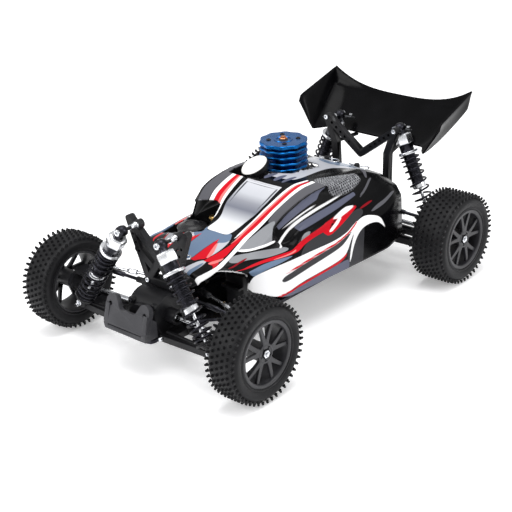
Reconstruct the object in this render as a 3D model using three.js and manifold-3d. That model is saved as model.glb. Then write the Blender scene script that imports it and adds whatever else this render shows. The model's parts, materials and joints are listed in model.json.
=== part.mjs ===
// Radio-controlled four-wheel-drive nitro buggy, about one tenth of full size.
// Millimetres. +Z up, the nose points to -Y and the car's left side is +X.
// The origin is on the ground, under the middle of the model's overall box.
import * as THREE from 'three';
import { mergeVertices } from 'three/addons/utils/BufferGeometryUtils.js';
import Module from 'manifold-3d';

const wasm = await Module();
wasm.setup();

// ---- driving dimensions ----
const WHEELBASE = 275;
const OVERALL_WIDTH = 249;
const TYRE_RADIUS = 43;
const RIM_RADIUS = 28;
const TYRE_WIDTH = { front: 30, rear: 36 };
const AXLE_Y = { front: -WHEELBASE / 2, rear: WHEELBASE / 2 };
const AXLE_Z = TYRE_RADIUS;
const ORIGIN_SHIFT_Y = -13.25;

// Every suspension link has the same length and slope, so the wheels stay upright.
const LINK_X = 68;
const LINK_Z = -2;
const ARM_PIVOT = { x: 20, z: 30 };
const UPPER_PIVOT = { x: 22, z: 60 };
const SHAFT_PIVOT = { x: 22, z: AXLE_Z - LINK_Z };
const KINGPIN_X = SHAFT_PIVOT.x + LINK_X;
const TIE_ROD = { x: 22, z: 55, sweep: -12 };
const STEER_RADIUS = 21;

const SHOCK = {
  front: { top: [23, -147.5, 113], foot: [77, -153, 36] },
  rear: { top: [36, 155.1, 129], foot: [76, 153, 40] },
};
const SPRING_WIRE = 1.1;
const SPRING_RADIUS = 8.4;
const SPRING_TURNS = 6;

const DECK_LOW = 25.5;
const DECK_TOP = 28.5;
const SHELL_SKIN = 1.5;

const CYLINDER = { x: -20, y: 52.5 };
const CRANK_Z = 58;
const SPUR_Z = SHAFT_PIVOT.z;
const SPUR_TEETH = 24;
const BELL_TEETH = 9;
const GEAR_Y = 2;

// ---- finishes ----
const paint = (color, roughness, metalness = 0) =>
  new THREE.MeshStandardMaterial({ color, roughness, metalness });
const FINISH = {
  blackPlastic: paint(0x1d1d20, 0.55),
  greyPlastic: paint(0x46454b, 0.6),
  rubber: paint(0x1b1b1c, 0.9),
  rim: paint(0x17171a, 0.45),
  shell: paint(0x8b929b, 0.3),
  wing: paint(0x101014, 0.25),
  steel: paint(0xb9bcc0, 0.3, 1),
  alloy: paint(0x8d8f93, 0.35, 1),
  blueAlloy: paint(0x10579a, 0.3, 1),
  springSteel: paint(0x141416, 0.4, 1),
  darkAlloy: paint(0x2c2c30, 0.4, 1),
  tank: paint(0x2a2a2d, 0.4),
};

// ---- solids: three.js shapes, joined and cut ----
const vector = (point) => new THREE.Vector3(...point);

function solidOf(geometry) {
  const bare = new THREE.BufferGeometry();
  bare.setAttribute('position', geometry.getAttribute('position'));
  if (geometry.index) bare.setIndex(geometry.index);
  const merged = mergeVertices(bare, 1e-4);
  return new wasm.Manifold(new wasm.Mesh({
    numProp: 3,
    vertProperties: new Float32Array(merged.getAttribute('position').array),
    triVerts: new Uint32Array(merged.index.array),
  }));
}

function geometryOf(solid) {
  const cut = solid.getMesh();
  const geometry = new THREE.BufferGeometry();
  geometry.setAttribute('position', new THREE.BufferAttribute(cut.vertProperties, 3));
  geometry.setIndex(new THREE.BufferAttribute(cut.triVerts, 1));
  geometry.computeVertexNormals();
  return geometry;
}

const join = (...solids) => solids.reduce((sum, next) => sum.add(next));
const cut = (body, ...tools) => tools.reduce((left, tool) => left.subtract(tool), body);

// A box from its lowest corner to its highest corner.
function box(low, high) {
  const size = vector(high).sub(vector(low));
  const centre = vector(low).add(vector(high)).multiplyScalar(0.5);
  return solidOf(new THREE.BoxGeometry(size.x, size.y, size.z).translate(centre.x, centre.y, centre.z));
}

// A round bar, or a cone, from one point to another.
function bar(from, to, radius, sides = 10, endRadius = radius) {
  const start = vector(from);
  const along = vector(to).sub(start);
  const shape = new THREE.CylinderGeometry(endRadius, radius, along.length(), sides);
  shape.translate(0, along.length() / 2, 0);
  const up = new THREE.Vector3(0, 1, 0);
  const turn = new THREE.Quaternion().setFromUnitVectors(up, along.clone().normalize());
  shape.applyQuaternion(turn);
  return solidOf(shape.translate(start.x, start.y, start.z));
}

function ball(centre, radius) {
  return solidOf(new THREE.SphereGeometry(radius, 8, 5).translate(...centre));
}

// A ring of revolution about the line from one point towards another.
function turned(from, to, profile, sides) {
  const start = vector(from);
  const direction = vector(to).sub(start).normalize();
  const shape = new THREE.LatheGeometry(profile.map(([r, h]) => new THREE.Vector2(r, h)), sides);
  shape.applyQuaternion(new THREE.Quaternion().setFromUnitVectors(new THREE.Vector3(0, 1, 0), direction));
  return solidOf(shape.translate(start.x, start.y, start.z));
}

// A flat outline with its corners rounded.
function outline(points, corner = 0) {
  const shape = new THREE.Shape();
  const ring = points.map(([u, v]) => new THREE.Vector2(u, v));
  ring.forEach((here, i) => {
    const before = ring[(i + ring.length - 1) % ring.length];
    const after = ring[(i + 1) % ring.length];
    const inset = Math.min(corner, here.distanceTo(before) / 2.1, here.distanceTo(after) / 2.1);
    const enter = here.clone().lerp(before, inset / here.distanceTo(before));
    const leave = here.clone().lerp(after, inset / here.distanceTo(after));
    if (i === 0) shape.moveTo(enter.x, enter.y);
    else shape.lineTo(enter.x, enter.y);
    if (inset > 0) shape.quadraticCurveTo(here.x, here.y, leave.x, leave.y);
  });
  shape.closePath();
  return shape;
}

// An outline drawn across one axis, made solid between two places on that axis.
// Across x the outline is (y, z), across y it is (x, z) and across z it is (x, y).
function plate(axis, shape, low, high) {
  const depth = high - low;
  const solid = new THREE.ExtrudeGeometry(shape, { depth, bevelEnabled: false, curveSegments: 2 });
  const [X, Y, Z] = [new THREE.Vector3(1, 0, 0), new THREE.Vector3(0, 1, 0), new THREE.Vector3(0, 0, 1)];
  const basis = new THREE.Matrix4();
  if (axis === 'x') basis.makeBasis(Y, Z, X).setPosition(low, 0, 0);
  if (axis === 'y') basis.makeBasis(X, Z, Y.clone().negate()).setPosition(0, high, 0);
  if (axis === 'z') basis.makeBasis(X, Y, Z).setPosition(0, 0, low);
  return solidOf(solid.applyMatrix4(basis));
}

// A closed skin through rings of points that all have the same number of points.
function loft(rings) {
  const count = rings[0].length;
  const positions = rings.flat().flat();
  const faces = [];
  for (let r = 0; r < rings.length - 1; r += 1) {
    for (let i = 0; i < count; i += 1) {
      const a = r * count + i;
      const b = r * count + ((i + 1) % count);
      faces.push(a, b, b + count, a, b + count, a + count);
    }
  }
  const last = (rings.length - 1) * count;
  for (let i = 1; i < count - 1; i += 1) {
    faces.push(0, i + 1, i);
    faces.push(last, last + i, last + i + 1);
  }
  const geometry = new THREE.BufferGeometry();
  geometry.setAttribute('position', new THREE.Float32BufferAttribute(positions, 3));
  geometry.setIndex(faces);
  return solidOf(geometry);
}

const root = new THREE.Group();
root.position.y = ORIGIN_SHIFT_Y;

function add(name, solid, material, parent = root) {
  const mesh = new THREE.Mesh(geometryOf(solid), material);
  mesh.name = name;
  parent.add(mesh);
}

// ---- frame ----
function chassisPlate() {
  const half = [[15, -160], [15, -112], [26, -98], [50, -74], [50, 92], [26, 112], [15, 122], [15, 160]];
  const mirrored = half.map(([x, y]) => [-x, y]).reverse();
  const deck = plate('z', outline([...half, ...mirrored], 5), DECK_LOW, DECK_TOP);
  const guards = [-49, 46.5].map((low) => box([low, -6, DECK_TOP - 0.5], [low + 2.5, 84, DECK_TOP + 6]));
  const spurSlot = box([-13, GEAR_Y - 5, DECK_LOW - 1], [13, GEAR_Y + 5, DECK_TOP + 1]);
  return cut(join(deck, ...guards), spurSlot);
}

function frontBumper() {
  const faceHalf = [[25, 40.5], [25, 62], [21, 66], [15, 66], [9, 55]];
  const faceOutline = outline([...faceHalf, ...faceHalf.map(([x, z]) => [-x, z]).reverse()], 3);
  for (const side of [-1, 1]) {
    faceOutline.holes.push(new THREE.Path().absarc(side * 20, 57.5, 2, 0, Math.PI * 2, true));
  }
  const lean = new THREE.Matrix4().makeRotationX(-0.33).setPosition(0, -183, 1.5);
  const face = new THREE.ExtrudeGeometry(faceOutline, { depth: 5, bevelEnabled: false, curveSegments: 4 });
  face.applyMatrix4(new THREE.Matrix4().makeRotationX(Math.PI / 2)).applyMatrix4(lean);
  const cheekOutline = outline([[-174, 37], [-174.5, 41], [-170, 58], [-160.5, 50], [-160.5, 36]]);
  const cheeks = [plate('x', cheekOutline, -24.5, -20), plate('x', cheekOutline, 20, 24.5)];
  const floorHalf = [[24, -174], [24, -161], [15, -158]];
  const floorOutline = outline([...floorHalf, ...floorHalf.map(([x, y]) => [-x, y]).reverse()]);
  const floor = plate('z', floorOutline, 36, 40);
  return join(solidOf(face), floor, ...cheeks);
}

// A differential case: a drum across the car with a bolted cover, lugs and two output cups.
function gearbox(end) {
  const y = AXLE_Y[end];
  const outward = end === 'front' ? -1 : 1;
  const drum = bar([-16, y, 46], [16, y, 46], 17, 24);
  const caseTop = 61.5;
  const caseLow = DECK_TOP + 0.3;
  const caseSteps = [[-15, caseLow], [-15, caseTop], [4, caseTop], [13, 55], [15, 46], [15, caseLow]];
  const caseSide = outline(caseSteps.map(([step, z]) => [y + outward * step, z]), 4);
  const block = plate('x', caseSide, -15.7, 15.7);
  const shoulder = box([-13, Math.min(y - outward * 20, y), 38], [13, Math.max(y - outward * 20, y), 56]);
  const cup = (side) => bar([side * 15, y, SHAFT_PIVOT.z], [side * 26, y, SHAFT_PIVOT.z], 6.4, 12);
  const bore = (side) => bar([side * 17.5, y, SHAFT_PIVOT.z], [side * 27, y, SHAFT_PIVOT.z], 4.4, 12);
  const nose = bar([0, y + outward * 14, 46], [0, y + outward * 20, 46], 11, 16);
  const shaftBore = bar([0, y - outward * 16, SPUR_Z], [0, y - outward * 24, SPUR_Z], 5, 12);
  return cut(join(drum, block, shoulder, nose, cup(1), cup(-1)), bore(1), bore(-1), shaftBore);
}

// Struts of one flat plate, each from point to point in x and z.
function strutPlate(struts, yLow, yHigh, width) {
  const pieces = struts.flatMap(([from, to]) => {
    const along = new THREE.Vector2(to[0] - from[0], to[1] - from[1]);
    const across = new THREE.Vector2(-along.y, along.x).setLength(width / 2);
    const corners = [[from, 1], [from, -1], [to, -1], [to, 1]]
      .map(([point, sign]) => [point[0] + sign * across.x, point[1] + sign * across.y]);
    const ends = [from, to].map(([x, z]) => bar([x, yLow, z], [x, yHigh, z], width / 2, 10));
    return [plate('y', outline(corners), yLow, yHigh), ...ends];
  });
  return join(...pieces);
}

function frontTower() {
  const struts = [-1, 1].flatMap((side) => [
    [[side * 33, 116.5], [side * 14, 66]],
    [[side * 33, 116.5], [0, 86]],
    [[0, 86], [side * 14, 66]],
    [[side * 24.5, 91], [side * 8, 79]],
  ]);
  const foot = strutPlate([[[-14, 66], [14, 66]]], -131, -125, 7);
  const pins = [-1, 1].map((side) => {
    const [x, y, z] = SHOCK.front.top;
    const lug = bar([side * x, -131, z], [side * x, -125, z], 4, 14);
    return join(lug, bar([side * x, -130, z], [side * x, y - 4, z], 1.5, 12));
  });
  return join(strutPlate(struts, -131, -125, 6), foot, ...pins);
}

function rearTower() {
  const struts = [-1, 1].flatMap((side) => [
    [[side * 40, 130], [0, 100.5]],
    [[side * 40, 130], [side * 31, 106]],
    [[side * 31, 106], [side * 30, 74]],
    [[side * 30, 74], [side * 14, 67.5]],
  ]);
  const [yLow, yHigh] = [140, 146];
  const foot = strutPlate([[[-14, 67.5], [14, 67.5]]], yLow, yHigh, 7);
  const pins = [-1, 1].map((side) => {
    const [x, y, z] = SHOCK.rear.top;
    return bar([side * x, yHigh - 1, z], [side * x, y + 4, z], 1.5, 12);
  });
  const stays = [-1, 1].map((side) => bar([side * 31.5, 144, 106], [side * 26, 170, 107.6], 2, 8));
  return join(strutPlate(struts, yLow, yHigh, 7), foot, ...pins, ...stays);
}

// ---- wing ----
// A dished deck between two end plates. The deck rises towards its trailing edge, which
// sweeps up at both ends, and each end plate stands on a fold along the deck's side.
const WING = {
  frontY: 149.5,
  rearY: 207,
  skin: 1.8,
  foldFrontX: 66,
  foldRearX: 80,
  plateX: 83,
  deckLow: 112,
  deckRise: 30,
  tipRise: 17,
  plateFrontZ: 137,
  plateTopZ: 140,
  plateRearZ: 158,
  deckSetback: 15,
};

function deckPoint(share, along) {
  const { lerp, smoothstep } = THREE.MathUtils;
  const x = share * lerp(WING.foldFrontX, WING.foldRearX, along);
  const setback = WING.deckSetback * (1 - smoothstep(Math.abs(share), 0.8, 1));
  const y = lerp(WING.frontY + setback, WING.rearY, along);
  const lip = along > 0.95 ? WING.tipRise : 5 * along;
  return [x, y, WING.deckLow + WING.deckRise * along ** 1.35 + lip * Math.abs(share) ** 3];
}

function platePoint(side, along) {
  const { lerp } = THREE.MathUtils;
  if (along > 0.95) return deckPoint(side, 1).map((value, i) => value + [0, 0, 0.4][i]);
  const z = along > 0 ? lerp(WING.plateTopZ, WING.plateRearZ, along) : WING.plateFrontZ;
  return [side * lerp(WING.plateX, WING.foldRearX, along), lerp(WING.frontY, WING.rearY, along), z];
}

function wing() {
  const shares = [1, 0.8, 0.55, 0.28, 0, -0.28, -0.55, -0.8, -1];
  const alongSteps = [0, 0.08, 0.35, 0.65, 0.92, 1];
  const ring = (point, offsetX, offsetZ) => {
    const upper = alongSteps.map(point);
    const under = upper.map(([x, y, z]) => [x + offsetX, y, z + offsetZ]).reverse();
    return [...upper, ...under];
  };
  const { skin } = WING;
  const deckRings = shares.map((share) => {
    const fold = Math.abs(share) === 1 ? Math.sign(share) * skin : 0;
    return ring((along) => deckPoint(share, along), fold, -skin);
  });
  const leftPlate = ring((along) => platePoint(1, along), skin, -skin / 2);
  const rightPlate = ring((along) => platePoint(-1, along), -skin, -skin / 2);
  return loft([leftPlate, ...deckRings, rightPlate]);
}

// ---- body shell ----
// Half sections from the centre line out to the lower edge, each at one place along the car.
const SHELL_SECTIONS = [
  [-119, [[0, 78.5], [14, 78], [24, 76.5], [28, 75.5], [31, 72], [33, 69], [33, 66]]],
  [-101, [[0, 80.5], [15, 80], [27, 78.5], [33, 76.5], [36, 73], [38, 70], [38, 66]]],
  [-85, [[0, 85], [17, 84], [32, 81.5], [42, 78], [52, 77], [61, 76], [61, 58]]],
  [-62, [[0, 89], [18, 88], [35, 86], [46, 85], [54, 78], [66, 75], [65, 46]]],
  [-43, [[0, 92], [19, 92], [39, 94], [50, 95.5], [57, 79], [69, 75], [66.5, 40]]],
  [-22, [[0, 103], [20, 103.2], [43, 107.5], [55, 108], [60, 79], [71, 75], [68, 40]]],
  [12, [[0, 115], [21, 115.4], [42, 115.2], [53, 114], [61, 79], [73, 74], [70, 40]]],
  [50, [[0, 111.5], [24, 112], [42, 114.5], [50, 114], [60, 83], [74, 74], [72, 40]]],
  [85, [[0, 106], [26, 106.5], [38, 109], [46, 108.5], [58, 90], [73, 76], [73, 40]]],
  [104, [[0, 101], [28, 101.5], [38, 103], [47, 101], [60, 92], [69, 80], [70, 42]]],
  [122, [[0, 95], [30, 94.5], [38, 94], [46, 91], [56, 87], [62, 78], [63, 38]]],
];

function sectionRing(y, half) {
  const right = half.map(([x, z]) => [x, y, z]);
  const left = half.slice(1).map(([x, z]) => [-x, y, z]).reverse();
  return [...right, ...left];
}

// The same section moved inwards by the skin, and down past the open underside.
function innerSection(half) {
  return half.map(([x, z], i) => {
    if (i === half.length - 1) return [x - SHELL_SKIN, z - 30];
    return [Math.max(0, x - SHELL_SKIN * (i > 2 ? 1 : 0.5)), z - SHELL_SKIN];
  });
}

function bodyShell() {
  const outer = loft(SHELL_SECTIONS.map(([y, half]) => sectionRing(y, half)));
  const last = SHELL_SECTIONS.length - 1;
  const inner = loft(SHELL_SECTIONS.map(([y, half], i) => {
    const inset = i === 0 ? SHELL_SKIN : 0;
    const outset = i === last ? 3 : 0;
    return sectionRing(y + inset + outset, innerSection(half));
  }));
  const engineOutline = outline([[-45, 3], [5, 3], [5, 82], [-45, 82]], 12);
  const tankFront = [[-62, -43], [-62, -72], [-24, -72], [-13, -64]];
  const tankOutline = outline([...tankFront, [-19, -44], [-22, -30], [-31, -30]], 5);
  const engineHole = plate('z', engineOutline, 90, 130);
  const tankHole = plate('z', tankOutline, 60, 120);
  const rearPosts = [-1, 1].map((side) => bar([side * 18, 112, 80], [side * 18, 112, 120], 4, 12));
  const frontPost = bar([0, -108, 70], [0, -108, 100], 4, 12);
  return cut(outer, inner, engineHole, tankHole, frontPost, ...rearPosts);
}

// ---- engine and drive train ----
function crankcase() {
  const { x, y } = CYLINDER;
  const body = bar([x, y, CRANK_Z - 14], [x, y, 104], 13, 14);
  const drum = bar([x, y - 16, CRANK_Z], [x, y + 16, CRANK_Z], 15, 14);
  const nose = bar([x, y - 34, CRANK_Z], [x, y, CRANK_Z], 8, 16);
  const feet = box([x - 17, y - 14, DECK_TOP + 0.3], [x + 17, y + 14, DECK_TOP + 4]);
  const legs = box([x - 9, y - 12, DECK_TOP + 2], [x + 9, y + 12, CRANK_Z]);
  const carburettor = bar([x - 4, y - 20, CRANK_Z + 5], [x - 4, y - 24, 98], 6, 14);
  const shaft = bar([x, y - 30, CRANK_Z], [x, GEAR_Y + 1.5, CRANK_Z], 2.4, 12);
  return join(body, drum, nose, feet, legs, carburettor, shaft);
}

function coolingHead() {
  const { x, y } = CYLINDER;
  const finCount = 5;
  const pitch = 5.6;
  const top = 136;
  const lobed = new THREE.Shape();
  const lobes = 10;
  const samples = 20;
  for (let i = 0; i < samples; i += 1) {
    const angle = (i / samples) * Math.PI * 2;
    const r = 21.8 + 0.7 * Math.cos(lobes * angle);
    if (i === 0) lobed.moveTo(x + r * Math.cos(angle), y + r * Math.sin(angle));
    else lobed.lineTo(x + r * Math.cos(angle), y + r * Math.sin(angle));
  }
  lobed.closePath();
  const fins = [];
  for (let i = 0; i < finCount; i += 1) {
    const low = top - 3.4 - i * pitch;
    fins.push(plate('z', lobed, low, low + (i === 0 ? 3.4 : 2.2)));
  }
  const core = bar([x, y, 104.4], [x, y, top - 1], 11, 12);
  const plug = bar([x, y, top - 1], [x, y, top + 3], 3.2, 6);
  return join(core, plug, ...fins);
}

function airFilter() {
  const face = [-25, 17, 120.5];
  const normal = new THREE.Vector3(-0.165, -0.436, 0.885).normalize();
  const at = (depth) => vector(face).addScaledVector(normal, -depth).toArray();
  const dish = turned(at(9), at(0), [[0, 0], [7.5, 0], [13.4, 5], [13.4, 9], [11, 10.6], [0, 11.4]], 22);
  const throat = bar(at(8), [CYLINDER.x - 4, CYLINDER.y - 24.2, 100.6], 4.2, 12);
  return join(dish, throat);
}

// A toothed wheel with its axis along the car.
function toothedWheel(x, z, teeth, pitchRadius, tooth, yLow, yHigh) {
  const shape = new THREE.Shape();
  const steps = teeth * 4;
  for (let i = 0; i < steps; i += 1) {
    const angle = ((i + 0.5) / steps) * Math.PI * 2;
    const r = pitchRadius + (i % 4 < 2 ? 0.35 * tooth : -0.65 * tooth);
    if (i === 0) shape.moveTo(x + r * Math.cos(angle), z + r * Math.sin(angle));
    else shape.lineTo(x + r * Math.cos(angle), z + r * Math.sin(angle));
  }
  shape.closePath();
  return plate('y', shape, yLow, yHigh);
}

const GEAR_DISTANCE = Math.hypot(CYLINDER.x, CRANK_Z - SPUR_Z);
const SPUR_RADIUS = GEAR_DISTANCE * SPUR_TEETH / (SPUR_TEETH + BELL_TEETH);
const BELL_RADIUS = GEAR_DISTANCE * BELL_TEETH / (SPUR_TEETH + BELL_TEETH);
const TOOTH = 0.7;

function spurGear() {
  const gear = toothedWheel(0, SPUR_Z, SPUR_TEETH, SPUR_RADIUS - 0.6, TOOTH, GEAR_Y - 2.5, GEAR_Y + 2.5);
  const hub = bar([0, GEAR_Y - 7, SPUR_Z], [0, GEAR_Y + 7, SPUR_Z], 6, 18);
  const shaft = bar([0, AXLE_Y.front + 20.6, SPUR_Z], [0, AXLE_Y.rear - 20.6, SPUR_Z], 2.6, 10);
  return join(gear, hub, shaft);
}

function clutchBell() {
  const { x } = CYLINDER;
  const gear = toothedWheel(x, CRANK_Z, BELL_TEETH, BELL_RADIUS - 0.6, TOOTH, GEAR_Y - 3.5, GEAR_Y + 3.5);
  return cut(gear, bar([x, GEAR_Y + 1, CRANK_Z], [x, GEAR_Y + 9, CRANK_Z], 3, 14));
}

// Expansion-chamber exhaust: two cones and a stinger along the right side.
function tunedPipe() {
  const axisX = -50;
  const z = 60;
  const chamber = turned([axisX, 48, z], [axisX, 118, z],
    [[0, 0], [5, 0], [5, 6], [12, 26], [12, 42], [5.5, 58], [3, 60], [3, 70], [0, 70]], 20);
  return chamber;
}

const FILLER = { x: -41, y: -50 };
const LID_HINGE = { y: -65, z: 79 };

function fuelTank() {
  const walls = outline([[-60, -71.5], [-24, -71.5], [-24, -22], [-32, -12], [-60, -12]], 6);
  const tankBody = plate('z', walls, DECK_TOP + 0.3, 68);
  const neck = bar([FILLER.x, FILLER.y, 67], [FILLER.x, FILLER.y, 77], 9, 20);
  const hingeLug = box([FILLER.x - 3, -71, 67], [FILLER.x + 3, -68.4, 80]);
  return join(tankBody, neck, hingeLug);
}

function tankLid() {
  const { x, y } = FILLER;
  const disc = bar([x, y, 77.3], [x, y, 80.6], 13.5, 28);
  const knob = bar([x, y, 80.5], [x, y, 83], 10, 22, 7);
  const tab = box([x - 3, LID_HINGE.y - 1.2, 77.6], [x + 3, y - 12, 80.3]);
  return join(disc, knob, tab);
}

function steeringServo() {
  const body = box([26, -80, DECK_TOP + 0.3], [46, -40, 66]);
  const ears = box([26, -86, 54], [46, -34, 56.5]);
  return join(body, ears);
}

function radioBox() {
  const walls = outline([[20, 8], [45.8, 8], [45.8, 78], [20, 78]], 4);
  const lid = outline([[19, 7], [46, 7], [46, 79], [19, 79]], 4);
  return join(plate('z', walls, DECK_TOP + 0.3, 54), plate('z', lid, 53.5, 56.5));
}

// ---- steering ----
const LINK_PIN = { x: 11, y: -91.5 };
const CRANK_POST = { x: LINK_PIN.x, y: LINK_PIN.y - STEER_RADIUS };
const TIE_INNER_Y = AXLE_Y.front + STEER_RADIUS - TIE_ROD.sweep;

function steeringBellcrank() {
  const { x, y } = CRANK_POST;
  const armTop = 62;
  const armLow = 59;
  const back = LINK_PIN.y + 3.5;
  const post = bar([x, y, DECK_TOP + 0.3], [x, y, armTop], 3, 16);
  const armOutline = outline([[x - 4, y - 3], [x + 4, y - 3], [x + 4, back], [x - 4, back]], 2.5);
  const arm = plate('z', armOutline, armLow, armTop);
  const pin = bar([x, LINK_PIN.y, 52], [x, LINK_PIN.y, armLow + 1], 1.4, 12);
  return join(post, arm, pin);
}

function steeringLink() {
  const { x, y } = LINK_PIN;
  const front = TIE_INNER_Y;
  const shape = outline([[-18, front - 1.5], [18, front - 1.5], [18, front + 4], [x + 4, y + 4],
    [x - 4, y + 4], [x - 6, front + 5], [-18, front + 4]], 1.5);
  const bridge = plate('z', shape, 53, 56);
  return cut(bridge, bar([x, y, 50], [x, y, 60], 1.7, 12));
}

// ---- one corner of the suspension, drawn for the left side ----
function lowerArm(end) {
  const y = AXLE_Y[end];
  const { x, z } = ARM_PIVOT;
  const outerX = x + LINK_X;
  const frontEdge = [[x - 3, -15], [x + 5, -15], [outerX - 9, -12.3], [outerX + 3.5, -12.3]];
  const rearEdge = frontEdge.map(([along, across]) => [along, -across]).reverse();
  const shape = outline([...frontEdge, ...rearEdge].map(([along, across]) => [along, y + across]), 2);
  const blank = plate('z', shape, z - 2.6, z + 3);
  const windows = [[x + 9, x + 26], [x + 30, x + 47]].map(([low, high]) => {
    const opening = outline([[low, y - 7.5], [high, y - 6.5], [high, y + 6.5], [low, y + 7.5]], 2);
    return plate('z', opening, z - 10, z + 10);
  });
  const fork = box([outerX - 10.5, y - 7.6, z - 10], [outerX + 8, y + 7.6, z + 10]);
  const ridgeOutline = outline([[x + 2, z], [x + 2, z + 6], [outerX - 8, z + 4.5], [outerX - 8, z]]);
  const ridge = [y - 11, y + 8.6].map((low) => plate('y', ridgeOutline, low, low + 2.4));
  const [footX, footY, footZ] = SHOCK[end].foot;
  const outward = end === 'front' ? -1 : 1;
  const lugDepth = end === 'front' ? 9.2 : 11;
  const [lugLow, lugHigh] = [y + outward * 7.8, y + outward * lugDepth].sort((a, b) => a - b);
  const lug = join(
    bar([footX, lugLow, footZ], [footX, lugHigh, footZ], 4.5, 16),
    box([footX - 4.5, lugLow, z], [footX + 4.5, lugHigh, footZ]),
  );
  const pin = bar([footX, y + outward * 8.6, footZ], [footX, footY + outward * 2.6, footZ], 1.4, 12);
  return join(cut(join(blank, ...ridge), ...windows, fork), lug, pin);
}

function link(from, to, rodRadius, eyeRadius, eyeHeight) {
  const eye = ([x, y, z]) => bar([x, y - eyeHeight / 2, z], [x, y + eyeHeight / 2, z], eyeRadius, 10);
  return join(bar(from, to, rodRadius, 8), eye(from), eye(to));
}

const CARRIER = { low: ARM_PIVOT.z + LINK_Z, high: UPPER_PIVOT.z + LINK_Z };
const UPPER_LINK_OFFSET = 10.6;

function hubCarrier(end) {
  const y = AXLE_Y[end];
  const outer = ARM_PIVOT.x + LINK_X;
  const lug = bar([outer, y - 7, CARRIER.low], [outer, y + 7, CARRIER.low], 3.4, 16);
  const back = box([outer - 8, y - 7, CARRIER.low], [outer - 4.5, y + 7, CARRIER.high]);
  const web = box([outer - 8, y - 7, CARRIER.low - 1], [outer, y + 7, CARRIER.low + 3]);
  const crown = box([outer - 8, y - 7, CARRIER.high - 3], [outer + 6, y + 7, CARRIER.high + 1]);
  const shaftHole = bar([outer - 12, y, AXLE_Z], [outer + 4, y, AXLE_Z], 6.6, 12);
  if (end === 'rear') {
    const barrel = bar([outer - 4.6, y, AXLE_Z], [outer + 8, y, AXLE_Z], 9.6, 16);
    const bore = bar([outer - 10, y, AXLE_Z], [outer + 9, y, AXLE_Z], 6, 12);
    return cut(join(lug, back, web, crown, barrel), bore);
  }
  const shelf = box([outer - 8, y - 6, CARRIER.low + 2.5], [outer + 6, y + 6, CARRIER.low + 5]);
  return cut(join(lug, back, web, crown, shelf), shaftHole);
}

function steeringKnuckle() {
  const y = AXLE_Y.front;
  const barrel = bar([KINGPIN_X - 2.8, y, AXLE_Z], [KINGPIN_X + 7, y, AXLE_Z], 9, 16);
  const bore = bar([KINGPIN_X - 6, y, AXLE_Z], [KINGPIN_X + 9, y, AXLE_Z], 5.8, 12);
  const pins = bar([KINGPIN_X, y, CARRIER.low + 5.4], [KINGPIN_X, y, CARRIER.high - 3.4], 3, 12);
  const arm = plate('z', outline([[KINGPIN_X - 3, y + 5], [KINGPIN_X + 3, y + 5],
    [KINGPIN_X + 3, y + STEER_RADIUS + 3], [KINGPIN_X - 3, y + STEER_RADIUS + 3]], 2), 46, 49.4);
  return cut(join(barrel, pins, arm), bore);
}

function tyre(end) {
  const half = TYRE_WIDTH[end] / 2;
  const outer = OVERALL_WIDTH / 2;
  const centre = outer - half;
  const profile = [[RIM_RADIUS - 0.8, -half + 3], [TYRE_RADIUS - 7, -half], [TYRE_RADIUS - 2, -half + 2.6],
    [TYRE_RADIUS, -half + 6], [TYRE_RADIUS, half - 6], [TYRE_RADIUS - 2, half - 2.6], [TYRE_RADIUS - 7, half],
    [RIM_RADIUS - 0.8, half - 3], [RIM_RADIUS + 1.4, half - 7], [RIM_RADIUS + 1.4, -half + 7],
    [RIM_RADIUS - 0.8, -half + 3]];
  const y = AXLE_Y[end];
  return turned([centre, y, AXLE_Z], [centre + 1, y, AXLE_Z], profile, 24);
}

function rim(end) {
  const half = TYRE_WIDTH[end] / 2;
  const outer = OVERALL_WIDTH / 2;
  const y = AXLE_Y[end];
  const r = RIM_RADIUS - 1.2;
  const profile = [[r - 2.6, -half + 3], [r, -half + 3], [r, half - 1.5], [r - 2.6, half - 0.5],
    [r - 4, half - 3], [r - 2.6, half - 6], [r - 2.6, -half + 3]];
  const centre = outer - half;
  const barrel = turned([centre, y, AXLE_Z], [centre + 1, y, AXLE_Z], profile, 24);
  const faceX = outer - 6.5;
  const hub = bar([KINGPIN_X + 8.6, y, AXLE_Z], [faceX + 2, y, AXLE_Z], 6.6, 14);
  const spokeCount = 5;
  const spokes = Array.from({ length: spokeCount }, (_, i) => {
    const angle = (i / spokeCount + 0.25) * Math.PI * 2;
    const spoke = new THREE.BoxGeometry(3, r - 3, 5.5).translate(0, (r + 1) / 2, 0);
    return solidOf(spoke.rotateX(angle - Math.PI / 2).translate(faceX, y, AXLE_Z));
  });
  return join(barrel, hub, ...spokes);
}

function driveShaft(end) {
  const y = AXLE_Y[end];
  const from = [SHAFT_PIVOT.x, y, SHAFT_PIVOT.z];
  const to = [SHAFT_PIVOT.x + LINK_X, y, SHAFT_PIVOT.z + LINK_Z];
  return join(bar(from, to, 2, 8), ball(from, 3.3), ball(to, 3.3));
}

function shockFrame(end) {
  const top = vector(SHOCK[end].top);
  const along = vector(SHOCK[end].foot).sub(top);
  const length = along.length();
  const down = along.clone().normalize();
  return { length, at: (s) => top.clone().addScaledVector(down, s).toArray() };
}

function shockBody(end) {
  const { at } = shockFrame(end);
  const [x, y, z] = SHOCK[end].top;
  const eye = bar([x, y - 3, z], [x, y + 3, z], 4.6, 12);
  const neck = bar(at(2), at(7), 3.6, 8);
  const cap = bar(at(6), at(16), 8.6, 6);
  const barrel = bar(at(15), at(60), 6, 10);
  const collar = bar(at(23), at(26), 9.6, 12);
  const rodHole = bar(at(38), at(64), 1.9, 8);
  const pinHole = bar([x, y - 8, z], [x, y + 8, z], 1.8, 8);
  return cut(join(eye, neck, cap, barrel, collar), rodHole, pinHole);
}

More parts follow.
